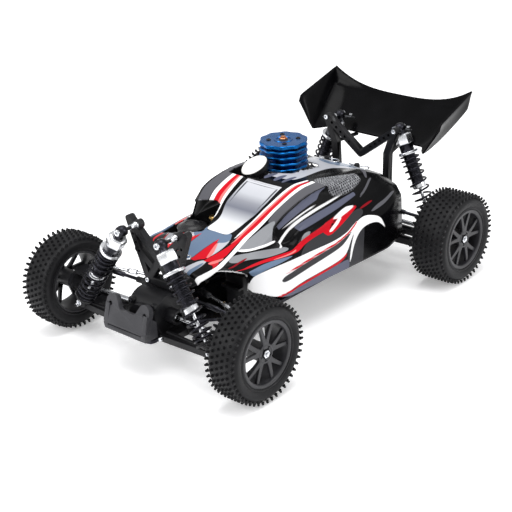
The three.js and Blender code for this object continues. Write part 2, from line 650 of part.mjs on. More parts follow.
function shockShaft(end) {
  const { length, at } = shockFrame(end);
  const [x, y, z] = SHOCK[end].foot;
  const rod = bar(at(52), at(length - 3), 1.5, 8);
  const seat = bar(at(length - 9.5), at(length - 7), 9, 12);
  const neck = bar(at(length - 8), at(length - 2), 3.4, 8);
  const eye = bar([x, y - 2, z], [x, y + 2, z], 4.8, 12);
  const pinHole = bar([x, y - 8, z], [x, y + 8, z], 2.7, 10);
  return cut(join(rod, seat, neck, eye), pinHole);
}

class Helix extends THREE.Curve {
  constructor(from, to, radius, turns) {
    super();
    this.from = vector(from);
    this.axis = vector(to).sub(this.from);
    const up = new THREE.Vector3(0, 1, 0);
    this.side = new THREE.Vector3().crossVectors(this.axis, up).setLength(radius);
    this.other = new THREE.Vector3().crossVectors(this.axis, this.side).setLength(radius);
    this.turns = turns;
  }

  getPoint(t, target = new THREE.Vector3()) {
    const angle = t * this.turns * Math.PI * 2;
    return target.copy(this.from).addScaledVector(this.axis, t)
      .addScaledVector(this.side, Math.cos(angle)).addScaledVector(this.other, Math.sin(angle));
  }
}

function coilSpring(end) {
  const { length, at } = shockFrame(end);
  const path = new Helix(at(27.6), at(length - 11.2), SPRING_RADIUS, SPRING_TURNS);
  const section = outline([[SPRING_WIRE, 0], [0, SPRING_WIRE], [-SPRING_WIRE, 0], [0, -SPRING_WIRE]]);
  const coil = new THREE.ExtrudeGeometry(section, {
    extrudePath: path, steps: SPRING_TURNS * 8, bevelEnabled: false,
  });
  return solidOf(coil);
}

// ---- assembly ----
add('chassis_plate', chassisPlate(), FINISH.darkAlloy);
add('front_bumper', frontBumper(), FINISH.greyPlastic);
add('front_gearbox', gearbox('front'), FINISH.blackPlastic);
add('rear_gearbox', gearbox('rear'), FINISH.blackPlastic);
add('front_shock_tower', frontTower(), FINISH.blackPlastic);
add('rear_shock_tower', rearTower(), FINISH.blackPlastic);
add('wing', wing(), FINISH.wing);
add('body_shell', bodyShell(), FINISH.shell);
add('engine_crankcase', crankcase(), FINISH.alloy);
add('cooling_head', coolingHead(), FINISH.blueAlloy);
add('air_filter', airFilter(), FINISH.blackPlastic);
add('spur_gear', spurGear(), FINISH.blackPlastic);
add('clutch_bell', clutchBell(), FINISH.steel);
add('tuned_pipe', tunedPipe(), FINISH.steel);
add('fuel_tank', fuelTank(), FINISH.tank);
add('tank_lid', tankLid(), FINISH.blackPlastic);
add('steering_servo', steeringServo(), FINISH.blackPlastic);
add('radio_box', radioBox(), FINISH.blackPlastic);
add('steering_bellcrank', steeringBellcrank(), FINISH.blackPlastic);
add('steering_link', steeringLink(), FINISH.alloy);

for (const sideName of ['left', 'right']) {
  const side = new THREE.Group();
  side.scale.x = sideName === 'left' ? 1 : -1;
  root.add(side);
  for (const end of ['front', 'rear']) {
    const put = (piece, solid, material) => add(`${end}_${sideName}_${piece}`, solid, material, side);
    const linkY = AXLE_Y[end] + (end === 'front' ? UPPER_LINK_OFFSET : -UPPER_LINK_OFFSET);
    const linkFrom = [UPPER_PIVOT.x, linkY, UPPER_PIVOT.z];
    const linkTo = [UPPER_PIVOT.x + LINK_X, linkY, UPPER_PIVOT.z + LINK_Z];
    put('tyre', tyre(end), FINISH.rubber);
    put('rim', rim(end), FINISH.rim);
    put('lower_arm', lowerArm(end), FINISH.blackPlastic);
    put('upper_link', link(linkFrom, linkTo, 2.2, 4, 5), FINISH.blackPlastic);
    put('hub_carrier', hubCarrier(end), FINISH.blackPlastic);
    put('drive_shaft', driveShaft(end), FINISH.steel);
    put('shock_body', shockBody(end), FINISH.darkAlloy);
    put('shock_shaft', shockShaft(end), FINISH.steel);
    put('spring', coilSpring(end), FINISH.springSteel);
  }
  const tieFrom = [TIE_ROD.x, TIE_INNER_Y, TIE_ROD.z];
  const tieTo = [TIE_ROD.x + LINK_X, TIE_INNER_Y + TIE_ROD.sweep, TIE_ROD.z + LINK_Z];
  add(`front_${sideName}_knuckle`, steeringKnuckle(), FINISH.blackPlastic, side);
  add(`front_${sideName}_tie_rod`, link(tieFrom, tieTo, 1.6, 3.4, 4), FINISH.steel, side);
}

export default root;
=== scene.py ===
"""Looks of a radio-controlled off-road buggy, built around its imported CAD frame.

Places are worked out in millimetres in the car's own frame, where y is measured from the
middle of the wheelbase, z from the ground, the nose points to -y and +x is the left side.
"""
import json
import math

import bmesh
import bpy
import numpy as np
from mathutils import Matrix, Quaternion, Vector


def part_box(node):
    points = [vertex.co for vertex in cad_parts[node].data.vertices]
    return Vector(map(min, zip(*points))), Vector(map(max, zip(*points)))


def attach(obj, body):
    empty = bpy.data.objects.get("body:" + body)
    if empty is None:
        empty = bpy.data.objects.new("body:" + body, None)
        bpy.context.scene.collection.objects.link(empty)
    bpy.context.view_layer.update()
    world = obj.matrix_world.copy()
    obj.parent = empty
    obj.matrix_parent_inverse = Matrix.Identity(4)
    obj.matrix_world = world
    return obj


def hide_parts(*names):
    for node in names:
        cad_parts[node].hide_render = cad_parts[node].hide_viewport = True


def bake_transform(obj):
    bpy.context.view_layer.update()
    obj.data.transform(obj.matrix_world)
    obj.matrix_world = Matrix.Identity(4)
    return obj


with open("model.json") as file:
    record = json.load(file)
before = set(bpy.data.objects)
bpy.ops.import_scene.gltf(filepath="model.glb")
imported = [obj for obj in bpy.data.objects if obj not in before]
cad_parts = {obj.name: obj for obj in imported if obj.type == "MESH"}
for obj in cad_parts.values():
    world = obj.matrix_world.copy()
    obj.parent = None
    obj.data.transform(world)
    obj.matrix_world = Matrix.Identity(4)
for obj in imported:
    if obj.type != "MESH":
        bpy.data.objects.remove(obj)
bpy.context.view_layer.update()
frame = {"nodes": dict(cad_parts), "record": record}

MM = 0.001
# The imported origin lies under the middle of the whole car, behind the middle of the wheelbase.
SHIFT_Y = -13.25
ENDS = ("front", "rear")
SIDES = {"left": 1, "right": -1}
CORNERS = [(end, side_name) for end in ENDS for side_name in SIDES]
LEFT = Vector((1, 0, 0))
BACK = Vector((0, 1, 0))
UP = Vector((0, 0, 1))
AXLE_Y = {"front": -137.5, "rear": 137.5}
AXLE_Z = 43.0
DAMPER_TOP = {"front": (23, -147.5, 113), "rear": (36, 155.1, 129)}
DAMPER_FOOT = {"front": (77, -153, 36), "rear": (76, 153, 40)}
# Inner and outer ends: x and z of a link and a shaft, and x, y and z of a tie rod.
UPPER_LINK = ((22, 60), (90, 58))
UPPER_LINK_OFFSET = 10.6
DRIVE_SHAFT = ((22, 45), (90, 43))
TIE_ROD = ((22, -104.5, 55), (90, -116.5, 53))
# Place, height of the foot and height of the top of each post under the shell.
BODY_POSTS = ((0, -108, 62, 86.5), (18, 112, 70, 102.5), (-18, 112, 70, 102.5))

NODE_BODY = {
    node: body
    for body, members in frame["record"]["behaviour"]["bodies"].items()
    for node in members
}
NODE_SLOT = {part["node"]: part["material_slot"] for part in frame["record"]["subparts"]}


def at(x, y, z):
    """A place in the car's frame, in millimetres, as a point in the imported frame."""
    return Vector((x, y + SHIFT_Y, z)) * MM


# ---------------------------------------------------------------- shapes
def turn_frame(direction):
    """Two directions square to the given one, and the given one."""
    axis = Vector(direction).normalized()
    helper = UP if abs(axis.z) < 0.9 else LEFT
    side = axis.cross(helper).normalized()
    return side, axis.cross(side), axis


class Shape:
    """Vertices in metres and faces, gathered piece by piece."""

    def __init__(self):
        self.points = []
        self.faces = []

    def add(self, points, faces):
        start = len(self.points)
        self.points.extend(points)
        self.faces.extend([start + i for i in face] for face in faces)
        return self

    def turned(self, start, direction, profile, sides, closed=False, capped=True, lobe=None):
        """A surface of revolution. The profile lists radius and distance along, in millimetres.

        A closed profile makes a ring. Any other gets flat caps where its ends are off the axis.
        """
        if capped and not closed:
            if profile[0][0]:
                profile = [(0, profile[0][1]), *profile]
            if profile[-1][0]:
                profile = [*profile, (0, profile[-1][1])]
        side, other, axis = turn_frame(direction)
        start = Vector(start)
        rings = []
        points = []
        for radius, along in profile:
            centre = start + axis * along * MM
            if radius < 1e-6:
                rings.append([len(points)])
                points.append(centre)
                continue
            ring = []
            for i in range(sides):
                angle = math.tau * i / sides
                r = radius * MM * (lobe(angle) if lobe else 1)
                ring.append(len(points))
                points.append(centre + side * math.cos(angle) * r + other * math.sin(angle) * r)
            rings.append(ring)
        faces = []
        pairs = list(zip(rings, rings[1:]))
        if closed:
            pairs.append((rings[-1], rings[0]))
        for low, high in pairs:
            for i in range(sides):
                j = (i + 1) % sides
                if len(low) == 1 and len(high) == 1:
                    continue
                if len(low) == 1:
                    faces.append([low[0], high[j], high[i]])
                elif len(high) == 1:
                    faces.append([low[i], low[j], high[0]])
                else:
                    faces.append([low[i], low[j], high[j], high[i]])
        return self.add(points, faces)

    def tube(self, path, radius, sides=10):
        """A round bar of one radius, in millimetres, along a path of points."""
        path = [Vector(p) for p in path]
        side = turn_frame(path[1] - path[0])[0]
        points = []
        for i, here in enumerate(path):
            tangent = (path[min(i + 1, len(path) - 1)] - path[max(i - 1, 0)]).normalized()
            side = (side - tangent * side.dot(tangent)).normalized()
            other = tangent.cross(side)
            for k in range(sides):
                angle = math.tau * k / sides
                points.append(here + (side * math.cos(angle) + other * math.sin(angle)) * radius * MM)
        faces = []
        for i in range(len(path) - 1):
            for k in range(sides):
                a = i * sides + k
                b = i * sides + (k + 1) % sides
                faces.append([a, b, b + sides, a + sides])
        last = (len(path) - 1) * sides
        faces.append(list(range(sides))[::-1])
        faces.append([last + k for k in range(sides)])
        return self.add(points, faces)

    def prism(self, outline, origin, u, v, depth):
        """A flat outline in millimetres, spread along u and v and made thick along u x v."""
        u = Vector(u)
        v = Vector(v)
        w = u.cross(v)
        count = len(outline)
        low = [Vector(origin) + (u * a + v * b) * MM for a, b in outline]
        high = [p + w * depth * MM for p in low]
        sides = [[i, (i + 1) % count, count + (i + 1) % count, count + i] for i in range(count)]
        caps = [list(range(count))[::-1], [count + i for i in range(count)]]
        return self.add(low + high, sides + caps)

    def mesh(self, name):
        made = bpy.data.meshes.new(name)
        made.from_pydata([tuple(p) for p in self.points], [], self.faces)
        return made


def add_object(name, data):
    """An object with the given mesh, camera or lamp in the scene."""
    obj = bpy.data.objects.new(name, data)
    bpy.context.scene.collection.objects.link(obj)
    return obj


def dress(obj, body, materials, slot, replaces=(), bevel=0.0, smooth=35.0):
    """Gives a mesh its material, edges and shading, and hangs it on its body."""
    mesh = obj.data
    for material in materials if isinstance(materials, (list, tuple)) else [materials]:
        mesh.materials.append(material)
    mesh.shade_smooth()
    mesh.set_sharp_from_angle(angle=math.radians(smooth))
    if bevel:
        edge = obj.modifiers.new("edges", "BEVEL")
        edge.width = bevel * MM
        edge.segments = 2
        edge.limit_method = "ANGLE"
        edge.angle_limit = math.radians(smooth)
        edge.miter_outer = "MITER_ARC"
        edge.harden_normals = True
    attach(obj, body)
    if replaces:
        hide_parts(*replaces)
    return obj


def face_outwards(mesh, merge=False):
    """Turns every face outwards, after joining doubled corners if asked."""
    built = bmesh.new()
    built.from_mesh(mesh)
    if merge:
        bmesh.ops.remove_doubles(built, verts=built.verts, dist=1e-6)
    bmesh.ops.recalc_face_normals(built, faces=built.faces)
    built.to_mesh(mesh)
    built.free()


def make(name, shape, body, material, slot, **finish):
    """A piece from a gathered shape."""
    mesh = shape.mesh(name)
    face_outwards(mesh)
    return dress(add_object(name, mesh), body, material, slot, **finish)


def drill(mesh, holes):
    """Cuts the given round bars out of a mesh."""
    bars = holes.mesh("drill")
    face_outwards(bars, merge=True)
    tool = add_object("drill", bars)
    work = add_object("drilled", mesh.copy())
    cut = work.modifiers.new("holes", "BOOLEAN")
    cut.operation = "DIFFERENCE"
    cut.solver = "EXACT"
    cut.use_self = True
    cut.object = tool
    bpy.context.view_layer.update()
    result = work.evaluated_get(bpy.context.evaluated_depsgraph_get()).to_mesh()
    built = bmesh.new()
    built.from_mesh(result)
    built.to_mesh(mesh)
    built.free()
    bpy.data.objects.remove(work)
    bpy.data.objects.remove(tool)


def from_cad(node, material, bevel=0.4, holes=None, flatten=True):
    """A CAD part with its flat faces joined, its edges rounded and, if asked, small holes drilled."""
    mesh = frame["nodes"][node].data.copy()
    mesh.materials.clear()
    face_outwards(mesh, merge=True)
    if holes:
        drill(mesh, holes)
    elif flatten:
        flat = bmesh.new()
        flat.from_mesh(mesh)
        bmesh.ops.dissolve_limit(flat, angle_limit=math.radians(0.8), verts=flat.verts, edges=flat.edges)
        flat.to_mesh(mesh)
        flat.free()
    obj = add_object(node + "_fine", mesh)
    return dress(obj, NODE_BODY[node], material, NODE_SLOT[node], replaces=[node],
                 bevel=bevel, smooth=32.0)


# ---------------------------------------------------------------- materials
def srgb(red, green, blue):
    """An 8-bit display colour as linear light, with alpha."""
    def linear(value):
        share = value / 255
        return share / 12.92 if share <= 0.04045 else ((share + 0.055) / 1.055) ** 2.4
    return (linear(red), linear(green), linear(blue), 1.0)


class Surface:
    """A node material: one Principled shader with grain, mottling and small bumps."""

    def __init__(self, name, rough, metal=0.0, specular=0.5):
        self.material = bpy.data.materials.new(name)
        self.material.use_nodes = True
        self.tree = self.material.node_tree
        self.shader = self.tree.nodes["Principled BSDF"]
        self.shader.inputs["Metallic"].default_value = metal
        self.shader.inputs["Roughness"].default_value = rough
        self.shader.inputs["Specular IOR Level"].default_value = specular
        self.place = self.node("ShaderNodeTexCoord").outputs["Object"]

    def node(self, kind, entries=None, **values):
        """A new node, with the values of its unlinked inputs and its properties."""
        made = self.tree.nodes.new(kind)
        for key, value in values.items():
            setattr(made, key, value)
        for key, value in (entries or {}).items():
            made.inputs[key].default_value = value
        return made

    def join(self, output, entry):
        self.tree.links.new(output, entry)

    def noise(self, scale, detail, stretch=(1, 1, 1)):
        """Noise with features of about 1/scale metres, finer along an axis whose stretch is over 1."""
        mapping = self.node("ShaderNodeMapping", {"Scale": stretch})
        self.join(self.place, mapping.inputs["Vector"])
        noise = self.node("ShaderNodeTexNoise", {"Scale": scale, "Detail": detail})
        self.join(mapping.outputs["Vector"], noise.inputs["Vector"])
        return noise.outputs["Fac"]

    def ranged(self, value, low, high, start=0.3, end=0.7):
        """A value spread from one range, by default most of a noise's, onto another."""
        spread = self.node("ShaderNodeMapRange", {
            "From Min": start, "From Max": end, "To Min": low, "To Max": high,
        })
        self.join(value, spread.inputs["Value"])
        return spread.outputs["Result"]

    def mixed(self, share, first, second):
        """A colour between two, each a colour or another node's output."""
        blend = self.node("ShaderNodeMix", data_type="RGBA")
        self.join(share, blend.inputs["Factor"])
        for entry, colour in ((blend.inputs[6], first), (blend.inputs[7], second)):
            if isinstance(colour, tuple):
                entry.default_value = colour
            else:
                self.join(colour, entry)
        return blend.outputs[2]

    def relief(self, height, strength, depth):
        bump = self.node("ShaderNodeBump", {"Strength": strength, "Distance": depth})
        self.join(height, bump.inputs["Height"])
        self.join(bump.outputs["Normal"], self.shader.inputs["Normal"])

    def grain(self, rough, spread, scale, bump, stretch=(1, 1, 1)):
        """Fine grain in roughness and relief."""
        fine = self.noise(scale, 4.0, stretch)
        self.join(self.ranged(fine, rough - spread, rough + spread), self.shader.inputs["Roughness"])
        self.relief(fine, bump, 0.00005)
        return self

    def colour(self, dark, light, scale=45.0):
        """Colour that drifts between two close tones."""
        drift = self.noise(scale, 2.0)
        self.join(self.mixed(self.ranged(drift, 0, 1), dark, light), self.shader.inputs["Base Color"])


def moulded(name, dark, light, rough, bump, scale=1800.0, shine=0.4):
    """Moulded plastic or rubber."""
    surface = Surface(name, rough, specular=shine)
    surface.colour(dark, light)
    return surface.grain(rough, 0.09, scale, bump).material


def metal(name, dark, light, rough, scale=500.0, stretch=(1, 1, 1), bump=0.15):
    """Bare or anodised metal, with fine lines across an axis whose stretch is over 1."""
    surface = Surface(name, rough, metal=1.0)
    surface.colour(dark, light, 120.0)
    return surface.grain(rough, 0.08, scale, bump, stretch=stretch).material


BLACK_PLASTIC = moulded("black_plastic", srgb(15, 15, 17), srgb(25, 25, 28), 0.4, 0.25, shine=0.22)
GREY_PLASTIC = moulded("grey_plastic", srgb(42, 42, 46), srgb(54, 54, 58), 0.55, 0.5, 1500.0)
RIM_PLASTIC = moulded("rim_plastic", srgb(30, 30, 33), srgb(42, 42, 46), 0.4, 0.25, 1400.0)
RUBBER = moulded("rubber", srgb(15, 15, 17), srgb(26, 26, 28), 0.5, 0.5, 900.0, shine=0.18)
CLEAR_PIPE = moulded("clear_pipe", srgb(205, 205, 212), srgb(228, 228, 234), 0.2, 0.05, 400.0, shine=0.6)
TANK_PLASTIC = moulded("tank_plastic", srgb(16, 16, 18), srgb(28, 28, 31), 0.3, 0.2)
WING_PLASTIC = moulded("wing_plastic", srgb(5, 5, 6), srgb(9, 9, 11), 0.22, 0.01, 60.0, shine=0.07)
STEEL = metal("polished_steel", srgb(196, 198, 202), srgb(224, 226, 230), 0.2)
BRUSHED = metal("brushed_alloy", srgb(176, 178, 184), srgb(214, 216, 220), 0.3, 900.0, (1, 1, 6))
SILVER = metal("silver_anodised", srgb(214, 216, 220), srgb(238, 239, 242), 0.26, 700.0, (1, 1, 5))
BLACK_ALLOY = metal("black_anodised", srgb(36, 36, 40), srgb(54, 54, 60), 0.32, 800.0)
SPRING_STEEL = metal("blackened_spring", srgb(30, 30, 34), srgb(48, 48, 54), 0.3, 900.0)
BLUE_ALLOY = metal("blue_anodised", srgb(14, 84, 148), srgb(26, 104, 172), 0.3, 700.0, (1, 1, 5), 0.05)
CAST_ALLOY = metal("cast_alloy", srgb(120, 121, 124), srgb(158, 159, 162), 0.45, 900.0, bump=0.6)
COPPER = metal("copper", srgb(186, 120, 82), srgb(214, 150, 108), 0.3)
BRASS = metal("brass", srgb(190, 156, 92), srgb(218, 186, 122), 0.28)


def foam_material():
    """Open foam cells."""
    surface = Surface("filter_foam", 0.85)
    cells = surface.node("ShaderNodeTexVoronoi", {"Scale": 1100.0})
    surface.join(surface.place, cells.inputs["Vector"])
    shade = surface.ranged(cells.outputs["Distance"], 0, 1, 0.0, 0.55)
    colour = surface.mixed(shade, srgb(208, 206, 198), srgb(250, 249, 245))
    surface.join(colour, surface.shader.inputs["Base Color"])
    surface.relief(cells.outputs["Distance"], 0.8, 0.0003)
    return surface.material


FOAM = foam_material()


# ---------------------------------------------------------------- camera, floor and light
LENS = 89.16
CAMERA_PLACE = (0.70392, -0.78531, 0.51138)
CAMERA_TARGET = (0.01786, -0.04546, 0.06)
CAMERA_ROLL = -2.678
FLOOR_REACH = 6.0


def aim(obj, place, target, roll=0.0):
    """Puts a camera or a lamp at a place, in metres, and turns it to a target."""
    look = (Vector(target) - Vector(place)).to_track_quat("-Z", "Y")
    obj.location = place
    obj.rotation_mode = "QUATERNION"
    obj.rotation_quaternion = look @ Quaternion(UP, math.radians(roll))


def camera():
    data = bpy.data.cameras.new("camera")
    data.lens = LENS
    data.sensor_width = 36.0
    data.clip_start = 0.01
    obj = add_object("camera", data)
    aim(obj, CAMERA_PLACE, CAMERA_TARGET, CAMERA_ROLL)
    bpy.context.scene.camera = obj


def floor():
    mesh = bpy.data.meshes.new("floor")
    corners = [(x * FLOOR_REACH, y * FLOOR_REACH, 0) for x, y in ((-1, -1), (1, -1), (1, 1), (-1, 1))]
    mesh.from_pydata(corners, [], [(0, 1, 2, 3)])
    obj = add_object("floor", mesh)
    surface = Surface("pale_floor", 0.7, specular=0.2)
    surface.colour(srgb(247, 247, 248), srgb(250, 250, 251), 3.0)
    surface.shader.inputs["Emission Color"].default_value = (1.0, 1.0, 1.0, 1.0)
    surface.shader.inputs["Emission Strength"].default_value = 0.28
    mesh.materials.append(surface.material)


def softbox(name, place, target, size, power):
    data = bpy.data.lights.new(name, "AREA")
    data.shape = "SQUARE"
    data.size = size
    data.energy = power
    aim(add_object(name, data), place, target)


def studio():
    world = bpy.data.worlds.new("studio")
    world.use_nodes = True
    background = world.node_tree.nodes["Background"]
    background.inputs["Color"].default_value = (1.0, 1.0, 1.0, 1.0)
    background.inputs["Strength"].default_value = 0.72
    bpy.context.scene.world = world
    bpy.context.scene.view_settings.view_transform = "Standard"
    softbox("overhead", (0.1, -0.1, 1.3), (0, 0, 0), 0.9, 11.0)
    softbox("front_left", (-0.5, -1.1, 0.8), (0, 0, 0.05), 0.6, 7.0)
    softbox("right_rim", (1.2, 0.5, 0.7), (0, 0, 0.08), 0.5, 5.0)


camera()
floor()
studio()


# ---------------------------------------------------------------- small hardware
def cap_screw(shape, place, direction, radius, height):
    """A socket-head screw with its six-sided recess, head pointing along the direction."""
    socket = radius * 0.5
    shape.turned(place, direction, [
        (radius, -0.3), (radius, height * 0.8), (radius * 0.85, height),
        (socket * 1.2, height), (socket, height * 0.9), (socket, height * 0.35), (0, height * 0.3),
    ], 18)


# ---------------------------------------------------------------- wheels
PIN_HEIGHT = 2.4
PINS_IN_ROW = 48
SPOKES = 5
FIRST_SPOKE = 49


def tread_pins(shape, hub, outward, half, radius):
    """Rows of tapered rubber pins, each row set half a pitch round from the next."""
    side, other, axis = turn_frame(outward)
    reach = half - 2.0
    rows = 6 if half < 16 else 7
    for row in range(rows):
        across = -reach + 2 * reach * row / (rows - 1)
        edge = row in (0, rows - 1)
        lean = 0.3 * (1 if across > 0 else -1) if edge else 0.0
        base = radius - PIN_HEIGHT - (1.2 if edge else 0.5)
        for i in range(PINS_IN_ROW):
            angle = math.tau * (i + 0.5 * (row % 2)) / PINS_IN_ROW
            spoke = side * math.cos(angle) + other * math.sin(angle)
            up = (spoke + axis * lean).normalized()
            foot = hub + spoke * base * MM + axis * across * MM
            tall = PIN_HEIGHT + 0.45 - (0.1 if edge else 0.0)
            pin = [(1.55, 0), (1.1, tall * 0.5), (1.0, tall - 0.3), (0.7, tall), (0, tall)]
            shape.turned(foot, up, pin, 10, capped=False)


def tyre(end, side_name):
    """A tyre with its tread, and the hub's place, half width and outward direction for the rim."""
    node = f"{end}_{side_name}_tyre"
    low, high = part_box(node)
    half = (high.x - low.x) / 2 / MM
    hub = (low + high) / 2
    radius = (high.z - low.z) / 2 / MM
    outward = Vector((SIDES[side_name], 0, 0))
    tread = radius - PIN_HEIGHT
    edge = [
        (28.3, half - 1.6), (29.2, half - 0.9), (30.6, half - 1.3), (31.2, half - 0.9),
        (33.5, half - 0.25), (35.2, half - 0.02), (36.6, half - 0.3), (37.4, half - 1.1),
        (38.6, half - 1.9), (tread - 0.6, half - 3.6), (tread - 0.1, half - 6.0),
        (tread + 0.05, 0.4 * half),
    ]
    profile = edge + [(r, -h) for r, h in reversed(edge)] + [(28.3, -half + 6), (28.3, half - 6)]
    shape = Shape().turned(hub, outward, profile, 112, closed=True)
    tread_pins(shape, hub, outward, half, radius)
    make(f"{node}_rubber", shape, NODE_BODY[node], RUBBER, NODE_SLOT[node], replaces=[node], smooth=38)
    return hub, half, outward


def y_spoke(shape, hub, outward, face, angle):
    """One spoke that starts at the hub and splits into two curved arms."""
    side, other, axis = turn_frame(outward)
    radial = side * math.cos(angle) + other * math.sin(angle)
    across = axis.cross(radial)
    thick = 2.6
    hub_radius = 5.5
    rim_radius = 25.6
    origin = hub + axis * (face - thick) * MM

    def arm(sign):
        outer = []
        inner = []
        steps = 9
        for i in range(steps + 1):
            t = i / steps
            r = hub_radius + (rim_radius - hub_radius) * t
            mid = sign * (1.3 + 6.2 * max(0.0, (t - 0.15) / 0.85) ** 1.2)
            width = 2.1 - 0.55 * t
            outer.append((r, mid + width))
            inner.append((r, mid - width))
        shape.prism(outer + inner[::-1], origin, radial, across, thick)

    arm(1)
    arm(-1)
    shape.prism([(4, -2.8), (10.5, -2.4), (12.4, 0), (10.5, 2.4), (4, 2.8)], origin, radial, across,
                thick + 0.15)


def rim(end, side_name, hub, half, outward):
    """A dished rim with its spokes, and the nut that holds it."""
    node = f"{end}_{side_name}_rim"
    body = NODE_BODY[node]
    face = half - 3.4
    shape = Shape()
    lip = [
        (24.6, half - 3.4), (24.8, half - 2.0), (25.5, half - 1.4), (27.6, half - 1.2),
        (28.25, half - 1.7), (28.25, half - 5.5), (27.4, half - 6.5), (27.4, -half + 7),
        (28.2, -half + 4), (28.2, -half + 2), (27.2, -half + 1.6), (26.2, -half + 2.2), (25.8, -half + 7),
        (25.2, half - 9), (24.6, half - 7),
    ]
    shape.turned(hub, outward, lip, 96, closed=True)
    for i in range(SPOKES):
        y_spoke(shape, hub, outward, face, math.radians(FIRST_SPOKE + 360 / SPOKES * i))
    shape.turned(hub, outward, [(7.4, -6), (7.6, face - 3), (8.4, face - 1.2), (8.2, face + 0.1),
                                (6.4, face + 0.5), (6.0, face - 1.4), (0, face - 1.6)], 40)
    make(f"{node}_fine", shape, body, RIM_PLASTIC, NODE_SLOT[node], replaces=[node],
         bevel=0.35, smooth=40)
    nut = Shape()
    nut.turned(hub, outward, [(3.6, face - 1.5), (3.6, face + 1.1), (3.1, face + 1.5), (2.0, face + 1.5),
                              (2.0, face + 0.8)], 6)
    nut.turned(hub, outward, [(1.6, face), (1.6, face + 2.2), (1.2, face + 2.6)], 20)
    make(f"{end}_{side_name}_wheel_nut", nut, body, STEEL, "steel", bevel=0.15)


# ---------------------------------------------------------------- dampers and springs
def damper_line(end, side_name):
    """The damper's upper and lower pivot, its direction and its length in millimetres."""
    sign = SIDES[side_name]
    top, foot = [at(sign * x, y, z) for x, y, z in (DAMPER_TOP[end], DAMPER_FOOT[end])]
    down = (foot - top).normalized()
    return top, foot, down, (foot - top).length / MM


def threads(radius, start, end, pitch=1.25, depth=0.35):
    """A profile of fine turned ridges."""
    count = int((end - start) / pitch)
    profile = []
    for i in range(count):
        low = start + (end - start) * i / count
        step = (end - start) / count
        profile += [(radius - depth, low), (radius, low + step * 0.35), (radius, low + step * 0.65)]
    return profile + [(radius - depth, end)]


def damper(end, side_name):
    """A damper with its foot and spring. Profiles run down from the upper pivot."""
    prefix = f"{end}_{side_name}_"
    top, foot, down, length = damper_line(end, side_name)
    body = prefix + "damper"
    rod_body = prefix + "damper_rod"
    eye = Shape()
    bulge = [(3.4, -4.0), (4.4, -3.2), (5.0, 0), (4.4, 3.2), (3.4, 4.0)]
    eye.turned(top, BACK, bulge, 28)
    eye.turned(top, down, [(3.4, 2), (3.8, 4.5), (4.6, 6.4)], 24)
    eye.turned(top, down, threads(6.0, 16.2, 54) + [(0, 54)], 40, capped=False)
    eye.turned(top, down, [(6.6, 15.8), (6.6, 22.6), (5.8, 23.4)], 40)
    make(prefix + "damper_barrel", eye, body, BLACK_ALLOY, "damper_alloy",
         replaces=[prefix + "shock_body"], smooth=45)
    bright = Shape()
    bright.turned(top, down, [(7.0, 6.2), (8.3, 7.2), (8.5, 8.6), (8.5, 15.4), (7.9, 16.1)], 6)
    bright.turned(top, down, [(6.1, 23.2), (9.3, 23.2), (9.6, 23.6), (9.6, 25.6), (9.3, 26.0),
                              (6.1, 26.0)], 48, closed=True)
    bright.turned(top, down, [(6.3, 53.8), (6.5, 54.4), (6.5, 59.0), (5.8, 59.8), (1.7, 59.8),
                              (1.7, 57)], 40)
    make(prefix + "damper_bright", bright, body, SILVER, "damper_alloy", bevel=0.35, smooth=40)
    rod = Shape()
    rod.turned(top, down, [(1.5, 52), (1.5, length - 4)], 20)
    make(prefix + "damper_rod_bar", rod, rod_body, STEEL, "steel", replaces=[prefix + "shock_shaft"])
    low = Shape()
    low.turned(top, down, [(2.0, length - 9.6), (8.7, length - 9.6), (9.0, length - 9.2),
                           (9.0, length - 7.6), (5.6, length - 7.0), (4.4, length - 4.8),
                           (0, length - 4.4), (0, length - 9.3)], 40, capped=False)
    low.turned(foot, BACK, [(2.75, -2.0), (4.5, -2.0), (4.9, -1.4), (4.9, 1.4), (4.5, 2.0), (2.75, 2.0)],
               32, closed=True)
    low.turned(foot, -down, [(0, 4.0), (3.3, 3.6), (3.6, 5.5), (0, 6)], 24)
    make(prefix + "damper_foot", low, rod_body, BLACK_PLASTIC, "black_plastic")
    pivot = Shape()
    outward = Vector((0, -1 if end == "front" else 1, 0))
    pivot.turned(foot - outward * 3 * MM, outward, [(2.0, 0), (2.3, 1.0), (2.3, 3.0), (1.6, 4.0),
                                                    (0, 4.2)], 20)
    cap_screw(pivot, foot + outward * 2.4 * MM, outward, 2.7, 1.6)
    make(prefix + "damper_foot_screw", pivot, prefix + "arm", STEEL, "steel")
    spring(prefix, top, down, length)


def spring(prefix, top, down, length):
    """An open coil with closed ends between the collar and the lower seat."""
    side, other, axis = turn_frame(down)
    start = 27.3
    end = length - 11.0
    turns = 10.5
    radius = 8.3
    wire = 0.95
    steps = int(turns * 28)
    path = []
    for i in range(steps + 1):
        t = i / steps
        angle = t * turns * math.tau
        eased = t - 0.055 * math.sin(t * math.tau)
        centre = top + axis * (start + (end - start) * eased) * MM
        path.append(centre + (side * math.cos(angle) + other * math.sin(angle)) * radius * MM)
    mesh = Shape().tube(path, wire).mesh(prefix + "coil")
    mesh.shade_smooth()
    mesh.materials.append(SPRING_STEEL)
    coil = add_object(prefix + "coil", mesh)
    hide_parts(prefix + "spring")
    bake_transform(coil)


for end, side_name in CORNERS:
    hub, half, outward = tyre(end, side_name)
    rim(end, side_name, hub, half, outward)
    damper(end, side_name)


# ---------------------------------------------------------------- suspension parts
def rod_end(shape, place, direction, radius, depth):
    """A round plastic socket seen side on, with its collar towards the rod."""
    half = depth / 2
    shape.turned(place, BACK, [(radius - 0.6, -half), (radius, -half + 0.7), (radius, half - 0.7),
                               (radius - 0.6, half)], 28)
    shape.turned(place, direction, [(2.5, 1.5), (2.7, 9.5), (2.2, 10.2)], 20)


